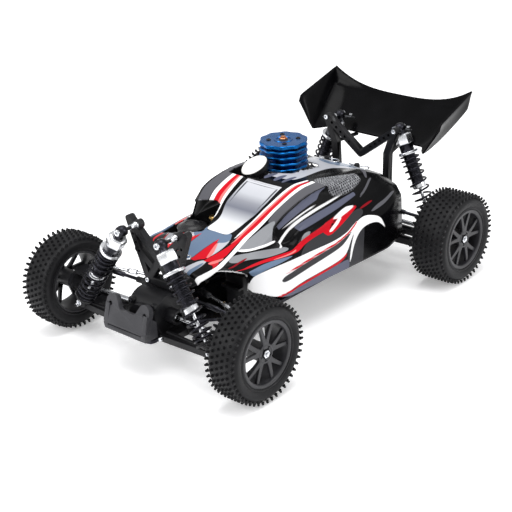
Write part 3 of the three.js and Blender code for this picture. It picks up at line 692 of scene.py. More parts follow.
def link_rods(end, side_name):
    """The upper link and, at the front, the tie rod with its turnbuckle."""
    prefix = f"{end}_{side_name}_"
    sign = SIDES[side_name]
    y = AXLE_Y[end] + (UPPER_LINK_OFFSET if end == "front" else -UPPER_LINK_OFFSET)
    inner, outer = [at(sign * x, y, z) for x, z in UPPER_LINK]
    direction = (outer - inner).normalized()
    node = prefix + "upper_link"
    shape = Shape()
    rod_end(shape, inner, direction, 3.9, 5)
    rod_end(shape, outer, -direction, 3.9, 5)
    make(node + "_ends", shape, NODE_BODY[node], BLACK_PLASTIC, "black_plastic", replaces=[node])
    rod = Shape().turned(inner, direction, [(1.5, 8), (1.5, 26), (2.3, 27), (2.3, 40), (1.5, 41),
                                            (1.5, 60)], 20)
    make(node + "_rod", rod, NODE_BODY[node], BLACK_ALLOY, "steel", smooth=40)
    if end == "rear":
        return
    node = prefix + "tie_rod"
    inner, outer = [at(sign * x, y, z) for x, y, z in TIE_ROD]
    direction = (outer - inner).normalized()
    length = (outer - inner).length / MM
    shape = Shape()
    rod_end(shape, inner, direction, 3.3, 4)
    rod_end(shape, outer, -direction, 3.3, 4)
    make(node + "_ends", shape, NODE_BODY[node], BLACK_PLASTIC, "black_plastic", replaces=[node])
    middle = length / 2
    rod = Shape().turned(inner, direction, [(1.35, 8), (1.35, middle - 5)], 20)
    rod.turned(inner, direction, [(1.35, middle + 5), (1.35, length - 8)], 20)
    rod.turned(inner, direction, [(2.1, middle - 5), (2.3, middle - 4.4), (2.3, middle + 4.4),
                                  (2.1, middle + 5)], 6)
    make(node + "_turnbuckle", rod, NODE_BODY[node], STEEL, "steel", smooth=40)


def drive_shaft(end, side_name):
    """A dog-bone shaft: a bar between two balls."""
    prefix = f"{end}_{side_name}_"
    node = prefix + "drive_shaft"
    sign = SIDES[side_name]
    inner, outer = [at(sign * x, AXLE_Y[end], z) for x, z in DRIVE_SHAFT]
    direction = (outer - inner).normalized()
    length = (outer - inner).length / MM
    ball = 3.2
    total = length + 2 * ball
    turns = [math.pi * k / 10 for k in range(1, 9)]
    knob = [(ball * math.sin(a), ball * (1 - math.cos(a))) for a in turns]
    other_knob = [(r, total - h) for r, h in reversed(knob)]
    shape = Shape().turned(inner - direction * ball * MM, direction, [
        (0, 0), *knob, (2.0, 7.4), (2.0, length / 2), (2.0, length - 1), *other_knob, (0, total),
    ], 28)
    make(node + "_fine", shape, NODE_BODY[node], STEEL, NODE_SLOT[node], replaces=[node])


def corner_hardware(end, side_name):
    """The lower arm's two hinge pins and the wheel's axle."""
    prefix = f"{end}_{side_name}_"
    sign = SIDES[side_name]
    axle = AXLE_Y[end]
    for name, x, z, length, body in (
        ("inner_hinge_pin", 20, 30, 34, "chassis"),
        ("outer_hinge_pin", 88, 28, 28, prefix + "arm"),
    ):
        pin = Shape()
        start = at(sign * x, axle - length / 2, z)
        pin.turned(start, BACK, [(1.5, 0), (1.7, 0.4), (1.7, length - 0.4), (1.5, length)], 18)
        make(prefix + name, pin, body, STEEL, "steel")
    stub = Shape()
    start = at(sign * 92, axle, AXLE_Z)
    stub.turned(start, Vector((sign, 0, 0)), [(4.0, 0), (4.0, 2), (2.5, 2.6), (2.5, 18)], 24)
    make(prefix + "axle", stub, prefix + "wheel", STEEL, "steel")


for end, side_name in CORNERS:
    prefix = f"{end}_{side_name}_"
    from_cad(prefix + "lower_arm", BLACK_PLASTIC, 0.45)
    from_cad(prefix + "hub_carrier", BLACK_PLASTIC)
    link_rods(end, side_name)
    drive_shaft(end, side_name)
    corner_hardware(end, side_name)
    if end == "front":
        from_cad(prefix + "knuckle", BLACK_PLASTIC)


# ---------------------------------------------------------------- frame parts
def hole_row(shape, start, end, count, radius, y_low, y_high):
    """A row of round holes through a plate that stands across the car."""
    for i in range(count):
        t = i / (count - 1)
        x = start[0] + (end[0] - start[0]) * t
        z = start[1] + (end[1] - start[1]) * t
        for sign in SIDES.values():
            hole = [(radius, 0), (radius, y_high - y_low + 2)]
            shape.turned(at(sign * x, y_low - 1, z), BACK, hole, 16)


def towers():
    """Both shock towers with their spare holes and screws."""
    holes = Shape()
    hole_row(holes, (28.2, 104), (22.6, 90), 3, 1.3, -131, -125)
    from_cad("front_shock_tower", BLACK_PLASTIC, 0.5, holes=holes)
    holes = Shape()
    hole_row(holes, (33.6, 125.3), (13, 110.1), 5, 1.5, 140, 146)
    from_cad("rear_shock_tower", BLACK_PLASTIC, 0.5, holes=holes)
    bright = Shape()
    for sign in SIDES.values():
        for end, y_face, facing in (("front", -131, -1), ("rear", 146, 1)):
            x, y, z = DAMPER_TOP[end]
            outward = Vector((0, facing, 0))
            cap_screw(bright, at(sign * x, y + facing * 4, z), outward, 2.9, 2.0)
            spacer = at(sign * x, y_face + facing * 0.2, z)
            bright.turned(spacer, outward, [(3.2, 0), (3.2, 2), (2.4, 3.2), (2.4, 7)], 20)
        for x, y, z, facing, radius in (
            (14, -131, 66, -1, 2.2), (33, -125, 116.5, 1, 2.4),
            (14, 146, 67.5, 1, 2.2), (40, 140, 130, -1, 2.4),
        ):
            cap_screw(bright, at(sign * x, y, z), Vector((0, facing, 0)), radius, 1.6)
    make("tower_screws", bright, "chassis", STEEL, "steel")


def gearboxes():
    """Both differential cases with the bosses and screws of their covers."""
    for end in ENDS:
        from_cad(end + "_gearbox", BLACK_PLASTIC, 0.7)
        facing = -1 if end == "front" else 1
        outward = Vector((0, facing, 0))
        screws = Shape()
        bosses = Shape()
        for sign in SIDES.values():
            for height in (37, 56):
                place = at(sign * 12.4, AXLE_Y[end] + facing * 14.6, height)
                bosses.turned(place, outward, [(3.4, -2), (3.4, 1.0), (2.8, 1.6)], 24)
                cap_screw(screws, place + outward * 1.6 * MM, outward, 2.0, 1.3)
        make(end + "_gearbox_bosses", bosses, "chassis", BLACK_PLASTIC, "black_plastic")
        make(end + "_gearbox_screws", screws, "chassis", BLACK_ALLOY, "steel")


for node, material, bevel in (
    ("chassis_plate", BLACK_ALLOY, 0.5),
    ("front_bumper", GREY_PLASTIC, 0.7),
    ("engine_crankcase", CAST_ALLOY, 0.6),
    ("spur_gear", BLACK_PLASTIC, 0.15),
    ("clutch_bell", STEEL, 0.2),
    ("tuned_pipe", BRUSHED, 0.0),
    ("fuel_tank", TANK_PLASTIC, 1.2),
    ("steering_servo", BLACK_PLASTIC, 0.6),
    ("radio_box", BLACK_PLASTIC, 0.8),
    ("steering_bellcrank", BLACK_PLASTIC, 0.3),
    ("steering_link", BLACK_ALLOY, 0.3),
):
    from_cad(node, material, bevel, flatten=node != "front_bumper")
towers()
gearboxes()


# ---------------------------------------------------------------- wing
WING_FRONT_Y = 149.5
WING_REAR_Y = 207.0
WING_SKIN = 1.5


def smoothstep(value, low, high):
    share = min(1.0, max(0.0, (value - low) / (high - low)))
    return share * share * (3 - 2 * share)


def between(first, second, share):
    return first + (second - first) * share


def deck_point(share, along):
    """A place on the deck: share runs from -1 to 1 across it and along from 0 to 1 to its rear."""
    x = share * between(66, 80, along)
    setback = 15 * (1 - smoothstep(abs(share), 0.8, 1))
    y = between(WING_FRONT_Y + setback, WING_REAR_Y, along)
    lip = between(5 * along, 17, smoothstep(along, 0.9, 1.0))
    return x, y, 112 + 30 * along ** 1.35 + lip * abs(share) ** 3


def plate_point(sign, along):
    """A place on an end plate's upper edge."""
    z = between(141, 158.4, along) - 5 * (1 - min(1.0, along / 0.08)) ** 2
    return sign * between(83, 80, along), between(WING_FRONT_Y, WING_REAR_Y, along), z


def wing():
    """The deck folds up into the end plates in one skin, on two bright stays."""
    rows = [0, 0.02, 0.05, 0.09, 0.14, 0.2, 0.28, 0.37, 0.46, 0.55, 0.64, 0.73, 0.81, 0.87, 0.91,
            0.94, 0.97, 1.0]
    shares = [math.sin(math.pi / 2 * k / 18) for k in range(-18, 19)]
    steps = 6
    points = []
    for along in rows:
        deck = [deck_point(share, along) for share in shares]
        ends = {}
        for sign, fold in ((-1, deck[0]), (1, deck[-1])):
            top = plate_point(sign, along)
            ends[sign] = [
                tuple(between(top[i], fold[i], k / steps) for i in range(3)) for k in range(steps)
            ]
        points.append(ends[-1] + deck + ends[1][::-1])
    width = len(points[0])
    faces = []
    for r in range(len(rows) - 1):
        for c in range(width - 1):
            a = r * width + c
            faces.append([a, a + 1, a + width + 1, a + width])
    shape = Shape().add([at(*p) for row in points for p in row], faces)
    obj = make("wing_skin", shape, "chassis", WING_PLASTIC, NODE_SLOT["wing"],
               replaces=["wing"], smooth=28)
    merge = obj.modifiers.new("close", "WELD")
    merge.merge_threshold = 0.05 * MM
    thick = obj.modifiers.new("skin", "SOLIDIFY")
    thick.thickness = WING_SKIN * MM
    thick.offset = -1.0 if obj.data.polygons[len(faces) // 2].normal.z > 0 else 1.0
    edge = obj.modifiers.new("edges", "BEVEL")
    edge.width = 0.35 * MM
    edge.segments = 2
    edge.angle_limit = math.radians(40)
    strips = Shape()
    screws = Shape()
    for sign in SIDES.values():
        start = at(sign * 38, 147, 131)
        end = at(sign * 34, 176, 121.5)
        direction = (end - start).normalized()
        outline = [(0, -2.6), (27, -3.4), (30, -1.6), (30, 1.6), (27, 3.4), (0, 2.6)]
        strips.prism(outline, start, direction, LEFT, 1.6)
        cap_screw(screws, at(sign * 34.6, 171, 124.6), Vector((0, 0.3, 1)), 2.2, 1.4)
    make("wing_struts", strips, "chassis", BRUSHED, "damper_alloy", bevel=0.3)
    make("wing_screws", screws, "chassis", STEEL, "steel")


wing()


# ---------------------------------------------------------------- engine, filter and tank
ENGINE = (-20, 52.5)
HEAD_TOP = 136.0


def engine_head():
    """Round fins with a scalloped edge, the head's screws and its glow plug."""
    shape = Shape()
    fins = 5
    pitch = 5.6
    radius = 21.8
    lobes = 10

    def lobed(angle):
        return 1 + 0.033 * math.cos(lobes * angle)

    base = at(*ENGINE, 0)
    for i in range(fins):
        top = HEAD_TOP - i * pitch
        low = top - (3.4 if i == 0 else 2.2)
        shape.turned(base, UP, [(radius - 0.5, low), (radius, low + 0.5), (radius, top - 0.5),
                                (radius - 0.5, top), (12 if i == 0 else 6, top),
                                (0, top - (0.7 if i == 0 else 0))], 120, lobe=lobed)
    shape.turned(base, UP, [(11, 104.4), (11, HEAD_TOP - 2)], 60)
    shape.turned(base, UP, [(6.2, HEAD_TOP - 1), (6.8, HEAD_TOP + 0.3), (8.4, HEAD_TOP + 0.3),
                            (9.0, HEAD_TOP - 1)], 60, closed=True)
    make("cooling_fins", shape, "chassis", BLUE_ALLOY, NODE_SLOT["cooling_head"],
         replaces=["cooling_head"], smooth=30)
    screws = Shape()
    for i in range(4):
        angle = math.tau * (i + 0.5) / 4
        x = ENGINE[0] + 13.5 * math.cos(angle)
        y = ENGINE[1] + 13.5 * math.sin(angle)
        cap_screw(screws, at(x, y, HEAD_TOP - 0.4), UP, 2.2, 1.2)
    make("head_screws", screws, "chassis", BLACK_ALLOY, "steel")
    plug = Shape()
    plug.turned(base, UP, [(4.0, HEAD_TOP - 1), (4.0, HEAD_TOP + 1.2), (3.4, HEAD_TOP + 1.6)], 6)
    plug.turned(base, UP, [(2.2, HEAD_TOP + 1), (2.2, HEAD_TOP + 2.8), (1.6, HEAD_TOP + 3)], 24)
    make("glow_plug", plug, "chassis", COPPER, "steel", bevel=0.15)


def air_filter():
    """A foam disc in a dish that leans forward, on a neck down to the carburettor."""
    face = at(-25, 17, 120.5)
    normal = Vector((-0.165, -0.436, 0.885)).normalized()
    dish = Shape()
    dish.turned(face, normal, [(7.5, -9), (11.4, -7), (13.2, -4), (13.4, -0.8), (13.2, 0), (12.9, 0),
                               (12.7, -0.8), (12.2, -2.4), (0, -2.6)], 64)
    start = face - normal * 8 * MM
    neck = at(-24, 28.3, 100.6) - start
    dish.turned(start, neck, [(4.2, 0), (4.2, neck.length / MM)], 28)
    make("filter_dish", dish, "chassis", BLACK_PLASTIC, NODE_SLOT["air_filter"],
         replaces=["air_filter"], smooth=40)
    foam = Shape()
    foam.turned(face, normal, [(12.8, -2.6), (12.8, -0.2), (11.6, 1.0), (8.6, 1.8), (4.5, 2.2),
                               (0, 2.3)], 64)
    make("filter_foam", foam, "chassis", FOAM, "black_plastic", smooth=60)


FILLER = (-41, -50)


def tank_lid():
    """A stepped cap with a lifting tab."""
    x, y = FILLER
    centre = at(x, y, 0)
    lid = Shape()
    lid.turned(centre, UP, [(12.9, 77.3), (13.5, 78), (13.5, 79.6), (13.1, 80.4), (11.2, 80.9),
                            (9.6, 82.0), (7.4, 83.0), (6.2, 83.2), (5.9, 82.6), (2.5, 82.4)], 72)
    lid.prism([(-3, 0), (3, 0), (2.4, 4.2), (-2.4, 4.2)], at(x, y - 12, 77.6), Vector((-1, 0, 0)),
              Vector((0, -1, 0)), 2.6)
    make("lid_cap", lid, "lid", TANK_PLASTIC, NODE_SLOT["tank_lid"], replaces=["tank_lid"],
         smooth=30, bevel=0.2)


def fuel_fitting():
    """A brass union on the tank with a clear pipe to the engine."""
    x, y = -28, -34.5
    brass = Shape()
    brass.turned(at(x, y, 0), UP, [(2.4, 66), (2.4, 80), (3.4, 81), (3.4, 86.5), (2.8, 87.5)], 28)
    brass.turned(at(x, y, 84.5), Vector((1, -0.35, 0.1)), [(3.2, -4.6), (3.2, 3.4), (2.4, 4),
                                                           (2.4, 7)], 24)
    make("fuel_fitting", brass, "chassis", BRASS, "steel", bevel=0.2)
    pipe = Shape().tube([at(x + 5, y - 1.7, 85), at(-19, -37.3, 85.2), at(-15.5, -37, 82),
                         at(-11, -31, 79), at(-9, -22, 76), at(-9, -10, 72)], 2.0, 20)
    make("fuel_pipe", pipe, "chassis", CLEAR_PIPE, "black_plastic", smooth=70)


def body_posts():
    """Posts through the shell with wire clips, riding on the frame."""
    posts = Shape()
    clips = Shape()
    for x, y, low, top in BODY_POSTS:
        posts.turned(at(x, y, 0), UP, [(2.7, low), (2.7, top - 0.8), (2.1, top)], 28)
        height = top - 2.6
        turns = [math.pi * (0.72 - i / 8) for i in range(12)]
        ring = [at(x + 9 + 4.2 * math.cos(a), y + 4.2 * math.sin(a), height) for a in turns]
        wave = [at(x + 4, y - 3.4, height), at(x, y - 2.9, height), at(x - 4.5, y - 1.2, height),
                at(x - 8.5, y - 3.2, height)]
        leg = [at(x - 9.5, y + 0.6, height + 0.4), at(x - 4, y + 0.3, height + 0.4),
               at(x + 2, y + 1.2, height + 0.2)]
        clips.tube([*leg, *ring, *wave], 0.65, 8)
    make("body_posts", posts, "chassis", BLACK_PLASTIC, "black_plastic")
    make("body_clips", clips, "chassis", STEEL, "steel", smooth=60)


engine_head()
air_filter()
tank_lid()
fuel_fitting()
body_posts()


# ---------------------------------------------------------------- body shell
# Half sections from the centre line to the lower edge, each at one place along the car.
# "Lane" counts the section's points: 0 is the centre line and 6 the lower edge.
SHELL_SECTIONS = (
    (-119, ((0, 78.5), (14, 78), (24, 76.5), (28, 75.5), (31, 72), (33, 69), (33, 66))),
    (-101, ((0, 80.5), (15, 80), (27, 78.5), (33, 76.5), (36, 73), (38, 70), (38, 66))),
    (-85, ((0, 85), (17, 84), (32, 81.5), (42, 78), (52, 77), (61, 76), (61, 58))),
    (-62, ((0, 89), (18, 88), (35, 86), (46, 85), (54, 78), (66, 75), (65, 46))),
    (-43, ((0, 92), (19, 92), (39, 94), (50, 95.5), (57, 79), (69, 75), (66.5, 40))),
    (-22, ((0, 103), (20, 103.2), (43, 107.5), (55, 108), (60, 79), (71, 75), (68, 40))),
    (12, ((0, 115), (21, 115.4), (42, 115.2), (53, 114), (61, 79), (73, 74), (70, 40))),
    (50, ((0, 111.5), (24, 112), (42, 114.5), (50, 114), (60, 83), (74, 74), (72, 40))),
    (85, ((0, 106), (26, 106.5), (38, 109), (46, 108.5), (58, 90), (73, 76), (73, 40))),
    (104, ((0, 101), (28, 101.5), (38, 103), (47, 101), (60, 92), (69, 80), (70, 42))),
    (122, ((0, 95), (30, 94.5), (38, 94), (46, 91), (56, 87), (62, 78), (63, 38))),
)
SHELL_FRONT = SHELL_SECTIONS[0][0]
SHELL_REAR = SHELL_SECTIONS[-1][0]
LANES = 6
LANE_WIDTH = 16.0
CORNER = 0.14
SHELL_SKIN = 1.2
SHELL_STEP = 1.25
COLUMNS_PER_LANE = 17
EASING_ROUNDS = 2
FAR = 1e9
TINY = 1e-12


def lane_knots(y):
    """The section's points at each y, on smooth curves through the stated sections."""
    stations = np.array([s[0] for s in SHELL_SECTIONS], float)
    table = np.array([s[1] for s in SHELL_SECTIONS], float)
    i = np.clip(np.searchsorted(stations, y, side="right") - 1, 0, len(stations) - 2)
    before = np.maximum(i - 1, 0)
    after = np.minimum(i + 2, len(stations) - 1)
    gap = (stations[i + 1] - stations[i])[:, None, None]
    t = ((y - stations[i]) / (stations[i + 1] - stations[i]))[:, None, None]
    start = table[i]
    end = table[i + 1]
    rise = end - start
    slope_in = (end - table[before]) / (stations[i + 1] - stations[before])[:, None, None] * gap
    slope_out = (table[after] - start) / (stations[after] - stations[i])[:, None, None] * gap
    limit = 3 * np.abs(rise)
    slope_in = np.where(slope_in * rise > 0, np.clip(slope_in, -limit, limit), 0)
    slope_out = np.where(slope_out * rise > 0, np.clip(slope_out, -limit, limit), 0)
    t2 = t * t
    t3 = t2 * t
    return (start * (2 * t3 - 3 * t2 + 1) + slope_in * (t3 - 2 * t2 + t)
            + end * (3 * t2 - 2 * t3) + slope_out * (t3 - t2))


def shell_surface(y, lane):
    """x and z of the shell's outside on one side, for arrays of places along the car and lanes."""
    knots = lane_knots(y)
    rows = np.arange(len(y))

    def straight(value):
        low = np.clip(np.floor(value).astype(int), 0, LANES - 1)
        share = (value - low)[:, None]
        return knots[rows, low] * (1 - share) + knots[rows, low + 1] * share

    nearest = np.clip(np.round(lane).astype(int), 1, LANES - 1)
    bend = np.clip((lane - nearest + CORNER) / (2 * CORNER), 0, 1)[:, None]
    rounded = (straight(nearest - CORNER) * (1 - bend) ** 2 + 2 * bend * (1 - bend) * knots[rows, nearest]
               + straight(nearest + CORNER) * bend ** 2)
    return np.where((np.abs(lane - nearest) < CORNER)[:, None], rounded, straight(lane))


def eased(outline):
    """Cuts the corners of an outline. A point given twice keeps its corner."""
    points = [np.array(p, float) for p in outline]
    for _ in range(EASING_ROUNDS):
        cut = []
        for here, after in zip(points, points[1:] + points[:1]):
            cut.append(here * 0.75 + after * 0.25)
            cut.append(here * 0.25 + after * 0.75)
        points = cut
    return np.array(points)


def depth_inside(outline, y, lane):
    """Distance in millimetres from an outline in (y, lane), positive inside, far outside clipped."""
    ring = eased(outline)
    reach = 8.0
    result = np.full(len(y), -reach)
    near = (y > ring[:, 0].min() - reach) & (y < ring[:, 0].max() + reach)
    here_y = y[near]
    here_lane = lane[near] * LANE_WIDTH
    best = np.full(len(here_y), FAR)
    inside = np.zeros(len(here_y), bool)
    ring_y = ring[:, 0]
    ring_lane = ring[:, 1] * LANE_WIDTH
    for x0, y0, x1, y1 in zip(ring_y, ring_lane, np.roll(ring_y, -1), np.roll(ring_lane, -1)):
        dx = x1 - x0
        dy = y1 - y0
        size = dx * dx + dy * dy
        t = np.clip(((here_y - x0) * dx + (here_lane - y0) * dy) / max(size, TINY), 0, 1)
        best = np.minimum(best, (here_y - x0 - t * dx) ** 2 + (here_lane - y0 - t * dy) ** 2)
        if abs(dy) > TINY:
            crosses = (y0 > here_lane) != (y1 > here_lane)
            inside ^= crosses & (here_y < x0 + (here_lane - y0) * dx / dy)
    distance = np.sqrt(best) * np.where(inside, 1, -1)
    result[near] = np.clip(distance, -reach, reach)
    return result


BLACK = srgb(4, 4, 5)
DARK = srgb(50, 50, 53)
# Grey, also used for painted highlights on the rear fender and a painted reflection streak on the rear
# deck.
GREY_AND_PAINTED_HIGHLIGHT = srgb(84, 84, 89)
LIGHT_GREY = srgb(134, 136, 140)
SLATE = srgb(88, 91, 108)
STEEL_BLUE = srgb(96, 114, 138)
SILVER_PAINT = srgb(178, 180, 187)
WHITE = srgb(240, 240, 241)
RED = srgb(190, 12, 30)
DEEP_RED = srgb(130, 12, 24)
PINK = srgb(222, 120, 118)

# Printed areas and painted highlights, from the lowest layer up. Each outline lists (place along the car,
# lane).
LIVERY_AND_HIGHLIGHTS = (
    (DARK, (
        ((-33, 5.0), (-33, 5.0), (-26, 4.62), (-18, 4.25), (-8, 4.03), (30, 4.03), (50, 3.98), (62, 4.05),
         (62, 4.35), (50, 4.5), (44, 4.66), (34, 5.1), (28, 5.6), (28, 5.2), (12, 5.0)),
        ((28, 6.1), (28, 5.6), (32, 5.2), (40, 4.95), (50, 4.9), (50, 4.9), (50, 6.1), (50, 6.1)),
    )),
    (GREY_AND_PAINTED_HIGHLIGHT, (
        ((-37, 1.75), (-20, 1.8), (10, 1.85), (28, 1.7), (35, 2.2), (32, 2.8), (10, 2.72), (-10, 2.64),
         (-28, 2.58), (-41, 2.62), (-36, 2.2)),
        # Painted highlights along the rear fender, as two grey lines.
        ((66, 4.55), (78, 4.45), (95, 4.48), (104, 4.38), (111, 4.42), (104, 4.56),
         (92, 4.63), (76, 4.62)),
        ((66, 3.72), (78, 3.6), (90, 3.28), (93, 3.3), (80, 3.68), (66, 3.8)),
        # A painted reflection streak on the rear deck.
        ((83, 3.25), (87, 2.4), (94, 1.5), (98, 1.5), (92, 2.5), (87, 3.3)),
    )),
    (SILVER_PAINT, (
        ((16, -1), (16, -1), (16, 0.88), (28, 0.96), (42, 0.8), (60, 0.64), (78, 0.56), (86, 0.75),
         (93, 1.0), (123, 1.1), (123, 1.1), (123, -1), (123, -1)),
        ((-121, 0.95), (-104, 1.0), (-97, 1.3), (-97, 1.62), (-121, 1.95)),
        ((-95, 1.32), (-88, 1.0), (-74, 0.72), (-62, 1.1), (-80, 1.34)),
    )),
    (LIGHT_GREY, (
        ((-72, 2.0), (-60, 1.8), (-40, 1.8), (-34, 2.1), (-36, 2.45), (-42, 2.75), (-46, 3.1), (-48, 3.4),
         (-58, 3.2), (-66, 2.7)),
        ((-81, 2.2), (-73, 2.5), (-66, 3.1), (-50, 3.75), (-34, 3.95), (-38, 4.2), (-52, 4.15),
         (-64, 3.95), (-74, 3.4), (-85, 2.9), (-87, 2.5)),
        ((-22, 4.0), (-16, 3.78), (-5, 3.8), (-12, 3.95), (-20, 4.15)),
    )),
    (STEEL_BLUE, (
        ((-102, -1), (-102, -1), (-102, 0.5), (-102, 0.5), (-62, 0.56), (-62, 0.56),
         (-62, -1), (-62, -1)),
        ((-75, 0.55), (-61, 0.55), (-57, 0.78), (-64, 1.14), (-72, 1.05)),
        ((-121, 1.5), (-104, 1.42), (-98, 1.55), (-121, 2.0)),
        ((94, -1), (94, -1), (94, 0.72), (123, 0.82), (123, 0.82), (123, -1), (123, -1)),
        ((-87, 4.78), (-75, 4.5), (-60, 4.5), (-46, 4.68), (-37, 4.78), (-52, 4.95),
         (-75, 5.05), (-85, 5.3)),
    )),
    (SLATE, (
        ((-22, 3.5), (-22, 3.5), (60, 3.5), (60, 3.5), (62, 3.62), (62, 3.62), (-16, 3.7), (-16, 3.7)),
        ((-38, 2.9), (-38, 2.9), (26, 2.88), (26, 2.88), (12, 3.2), (12, 3.2), (-36, 3.24), (-36, 3.24)),
        ((9, 0.62), (24, 0.58), (30, 0.7), (22, 0.82), (9, 0.8)),
        ((9, 0.16), (22, 0.1), (28, 0.25), (20, 0.4), (9, 0.38)),
        ((-62, 6.1), (-45, 5.88), (0, 5.78), (24, 5.72), (31, 5.75), (31, 6.1), (31, 6.1)),
    )),
    (WHITE, (
        ((27, 1.6), (27, 1.6), (10, 1.62), (-25, 1.58), (-40, 1.46), (-52, 1.46), (-65, 1.65),
         (-80, 1.95), (-90, 2.2), (-100, 2.85), (-110, 3.15), (-122, 3.3), (-122, 4.7), (-110, 4.35),
         (-103, 3.85), (-96, 3.1), (-88, 2.45), (-75, 2.1), (-60, 1.8), (-45, 1.66), (-25, 1.76),
         (10, 1.84), (26, 1.84), (26, 1.84)),
        ((-66, 1.24), (-66, 1.24), (-50, 1.0), (-40, 0.98), (-28, 1.12), (10, 1.26), (27, 1.36),
         (27, 1.36), (26, 1.48), (10, 1.42), (-28, 1.26), (-40, 1.12), (-50, 1.14)),
        ((-88, 6.1), (-86, 5.35), (-80, 5.12), (-60, 5.03), (-30, 5.0), (12, 4.97), (28, 4.84),
         (38, 4.64), (47, 4.52), (47, 4.52), (45, 4.7), (36, 4.97), (31, 5.22), (28, 5.46), (23, 5.62),
         (0, 5.7), (-40, 5.78), (-64, 6.1)),
        ((31, 5.85), (32.5, 5.3), (38, 4.88), (45, 4.6), (52, 4.5), (60, 4.52), (68, 4.74), (76, 5.08),
         (83, 5.42), (83, 5.42), (72, 5.12), (62, 5.0), (52, 4.97), (43, 5.07), (36, 5.36), (32.5, 5.85)),
        ((104, 1.0), (123, 0.92), (123, 1.95), (108, 1.85)),
        ((-73, 2.05), (-70, 2.5), (-64, 3.0), (-55, 3.36), (-45, 3.5), (-45, 3.38), (-55, 3.2),
         (-62, 2.85), (-67, 2.4), (-70, 2.02)),
        ((-34, 3.28), (12, 3.28), (12, 3.28), (-8, 3.34), (-34, 3.34)),
        ((-45, 3.84), (-34, 3.48), (-24, 3.38), (52, 3.36), (52, 3.42), (-22, 3.46),
         (-32, 3.57), (-42, 3.9)),
        ((-100, 3.42), (-94, 3.6), (-89, 4.5), (-87, 5.4), (-87.3, 6.1), (-88, 6.1), (-87.5, 5.4),
         (-90, 4.6), (-94.5, 3.74), (-100, 3.5)),
    )),
    (RED, (
        ((-102, 0.54), (-102, 0.54), (-68, 0.57), (-68, 0.57), (-80, 0.85), (-92, 1.14), (-96, 1.3),
         (-99, 0.95), (-102, 0.9)),
        ((-98, 1.32), (-98, 1.32), (-80, 1.42), (-62, 1.38), (-46, 1.14), (-38, 1.16), (-25, 1.33),
         (10, 1.48), (24, 1.5), (24, 1.5), (24, 1.64), (24, 1.64), (8, 1.63), (-20, 1.6), (-35, 1.49),
         (-46, 1.44), (-60, 1.54), (-75, 1.74), (-84, 1.96), (-92, 1.96), (-98, 1.62)),
        ((-99, 2.0), (-99, 2.0), (-90, 2.12), (-102, 2.95), (-102, 2.95), (-98, 2.4)),
        ((-93, 4.22), (-93, 4.22), (-80, 3.98), (-62, 4.12), (-42, 4.3), (-34, 4.3), (-27, 4.06),
         (-18, 3.9), (8, 3.84), (14, 3.8), (14, 3.8), (30, 3.78), (52, 3.81), (60, 3.92), (60, 3.92),
         (40, 4.08), (14, 4.42), (14, 4.42), (14, 4.42), (9, 4.4), (9, 4.4), (9, 4.4), (8, 4.02),
         (8, 4.02), (8, 4.02), (-8, 4.06), (-20, 4.25), (-29, 4.58), (-38, 4.66), (-50, 4.6),
         (-70, 4.33)),
        ((-52, 5.32), (0, 5.1), (14, 5.05), (28, 4.89), (40, 4.64), (48, 4.5), (49, 4.55), (41, 4.72),
         (29, 4.97), (14, 5.13), (0, 5.17), (-48, 5.38)),
        ((-68, 6.1), (-45, 5.82), (0, 5.71), (20, 5.65), (27, 5.5), (28, 5.58), (20, 5.73), (0, 5.78),
         (-45, 5.89), (-61, 6.1)),
    )),
    (DEEP_RED, (
        ((-93, 3.4), (-84, 2.98), (-72, 3.1), (-76, 3.26), (-84, 3.2), (-90, 3.5)),
        ((60, 4.05), (75, 4.1), (80, 4.2), (70, 4.2), (60, 4.12)),
    )),
    (PINK, (
        ((-96, 1.3), (-90, 1.06), (-78, 0.78), (-72, 0.72), (-80, 1.0), (-90, 1.34)),
        ((-72, 1.36), (-60, 1.28), (-48, 1.08), (-38, 1.08), (-25, 1.26), (20, 1.44), (20, 1.5),
         (-25, 1.38), (-38, 1.22), (-48, 1.2), (-60, 1.38)),
        ((-99, 1.7), (-90, 1.92), (-85, 2.0), (-92, 2.16), (-99, 2.06)),
        ((-60, 4.42), (-44, 4.5), (-36, 4.46), (-30, 4.3), (-32, 4.5), (-40, 4.62), (-52, 4.56)),
    )),
    (DARK, (
        ((-55, 5.52), (-48, 5.37), (0, 5.17), (14, 5.13), (29, 4.97), (38, 4.8), (32, 4.98), (26, 5.14),
         (19, 5.27), (0, 5.36), (-40, 5.53), (-52, 5.6)),
    )),
    (WHITE, (
        ((22, 3.8), (22, 3.8), (42, 3.72), (50, 3.78), (58, 3.87), (58, 3.87), (36, 3.9),
         (30, 3.88), (30, 3.88)),
        ((13.5, 4.22), (13.5, 4.22), (16, 4.06), (33, 3.86), (38, 3.88), (38, 3.88),
         (17, 4.24), (17, 4.24)),
    )),
    (BLACK, (
        ((-67, 1.22), (-67, 1.22), (-59, 0.86), (-46, 0.72), (-36, 0.8), (-28, 0.98), (0, 1.02),
         (32, 1.22), (32, 1.22), (10, 1.2), (-28, 1.1), (-40, 0.94), (-50, 0.94), (-58, 1.1)),
        ((14.5, 4.1), (14.5, 4.1), (20, 3.9), (33, 3.82), (33, 3.82), (18, 4.03)),
    )),
)
SCREEN_SPAN = (-62, 3)
WINDSCREEN = ((-62, -1), (-62, -1), (-62, 0.45), (-60, 0.68), (-55, 0.72), (-45, 0.7), (-38, 0.76),
              (-30, 0.94), (-22, 0.97), (3, 0.96), (3, 0.96), (3, -1), (3, -1))
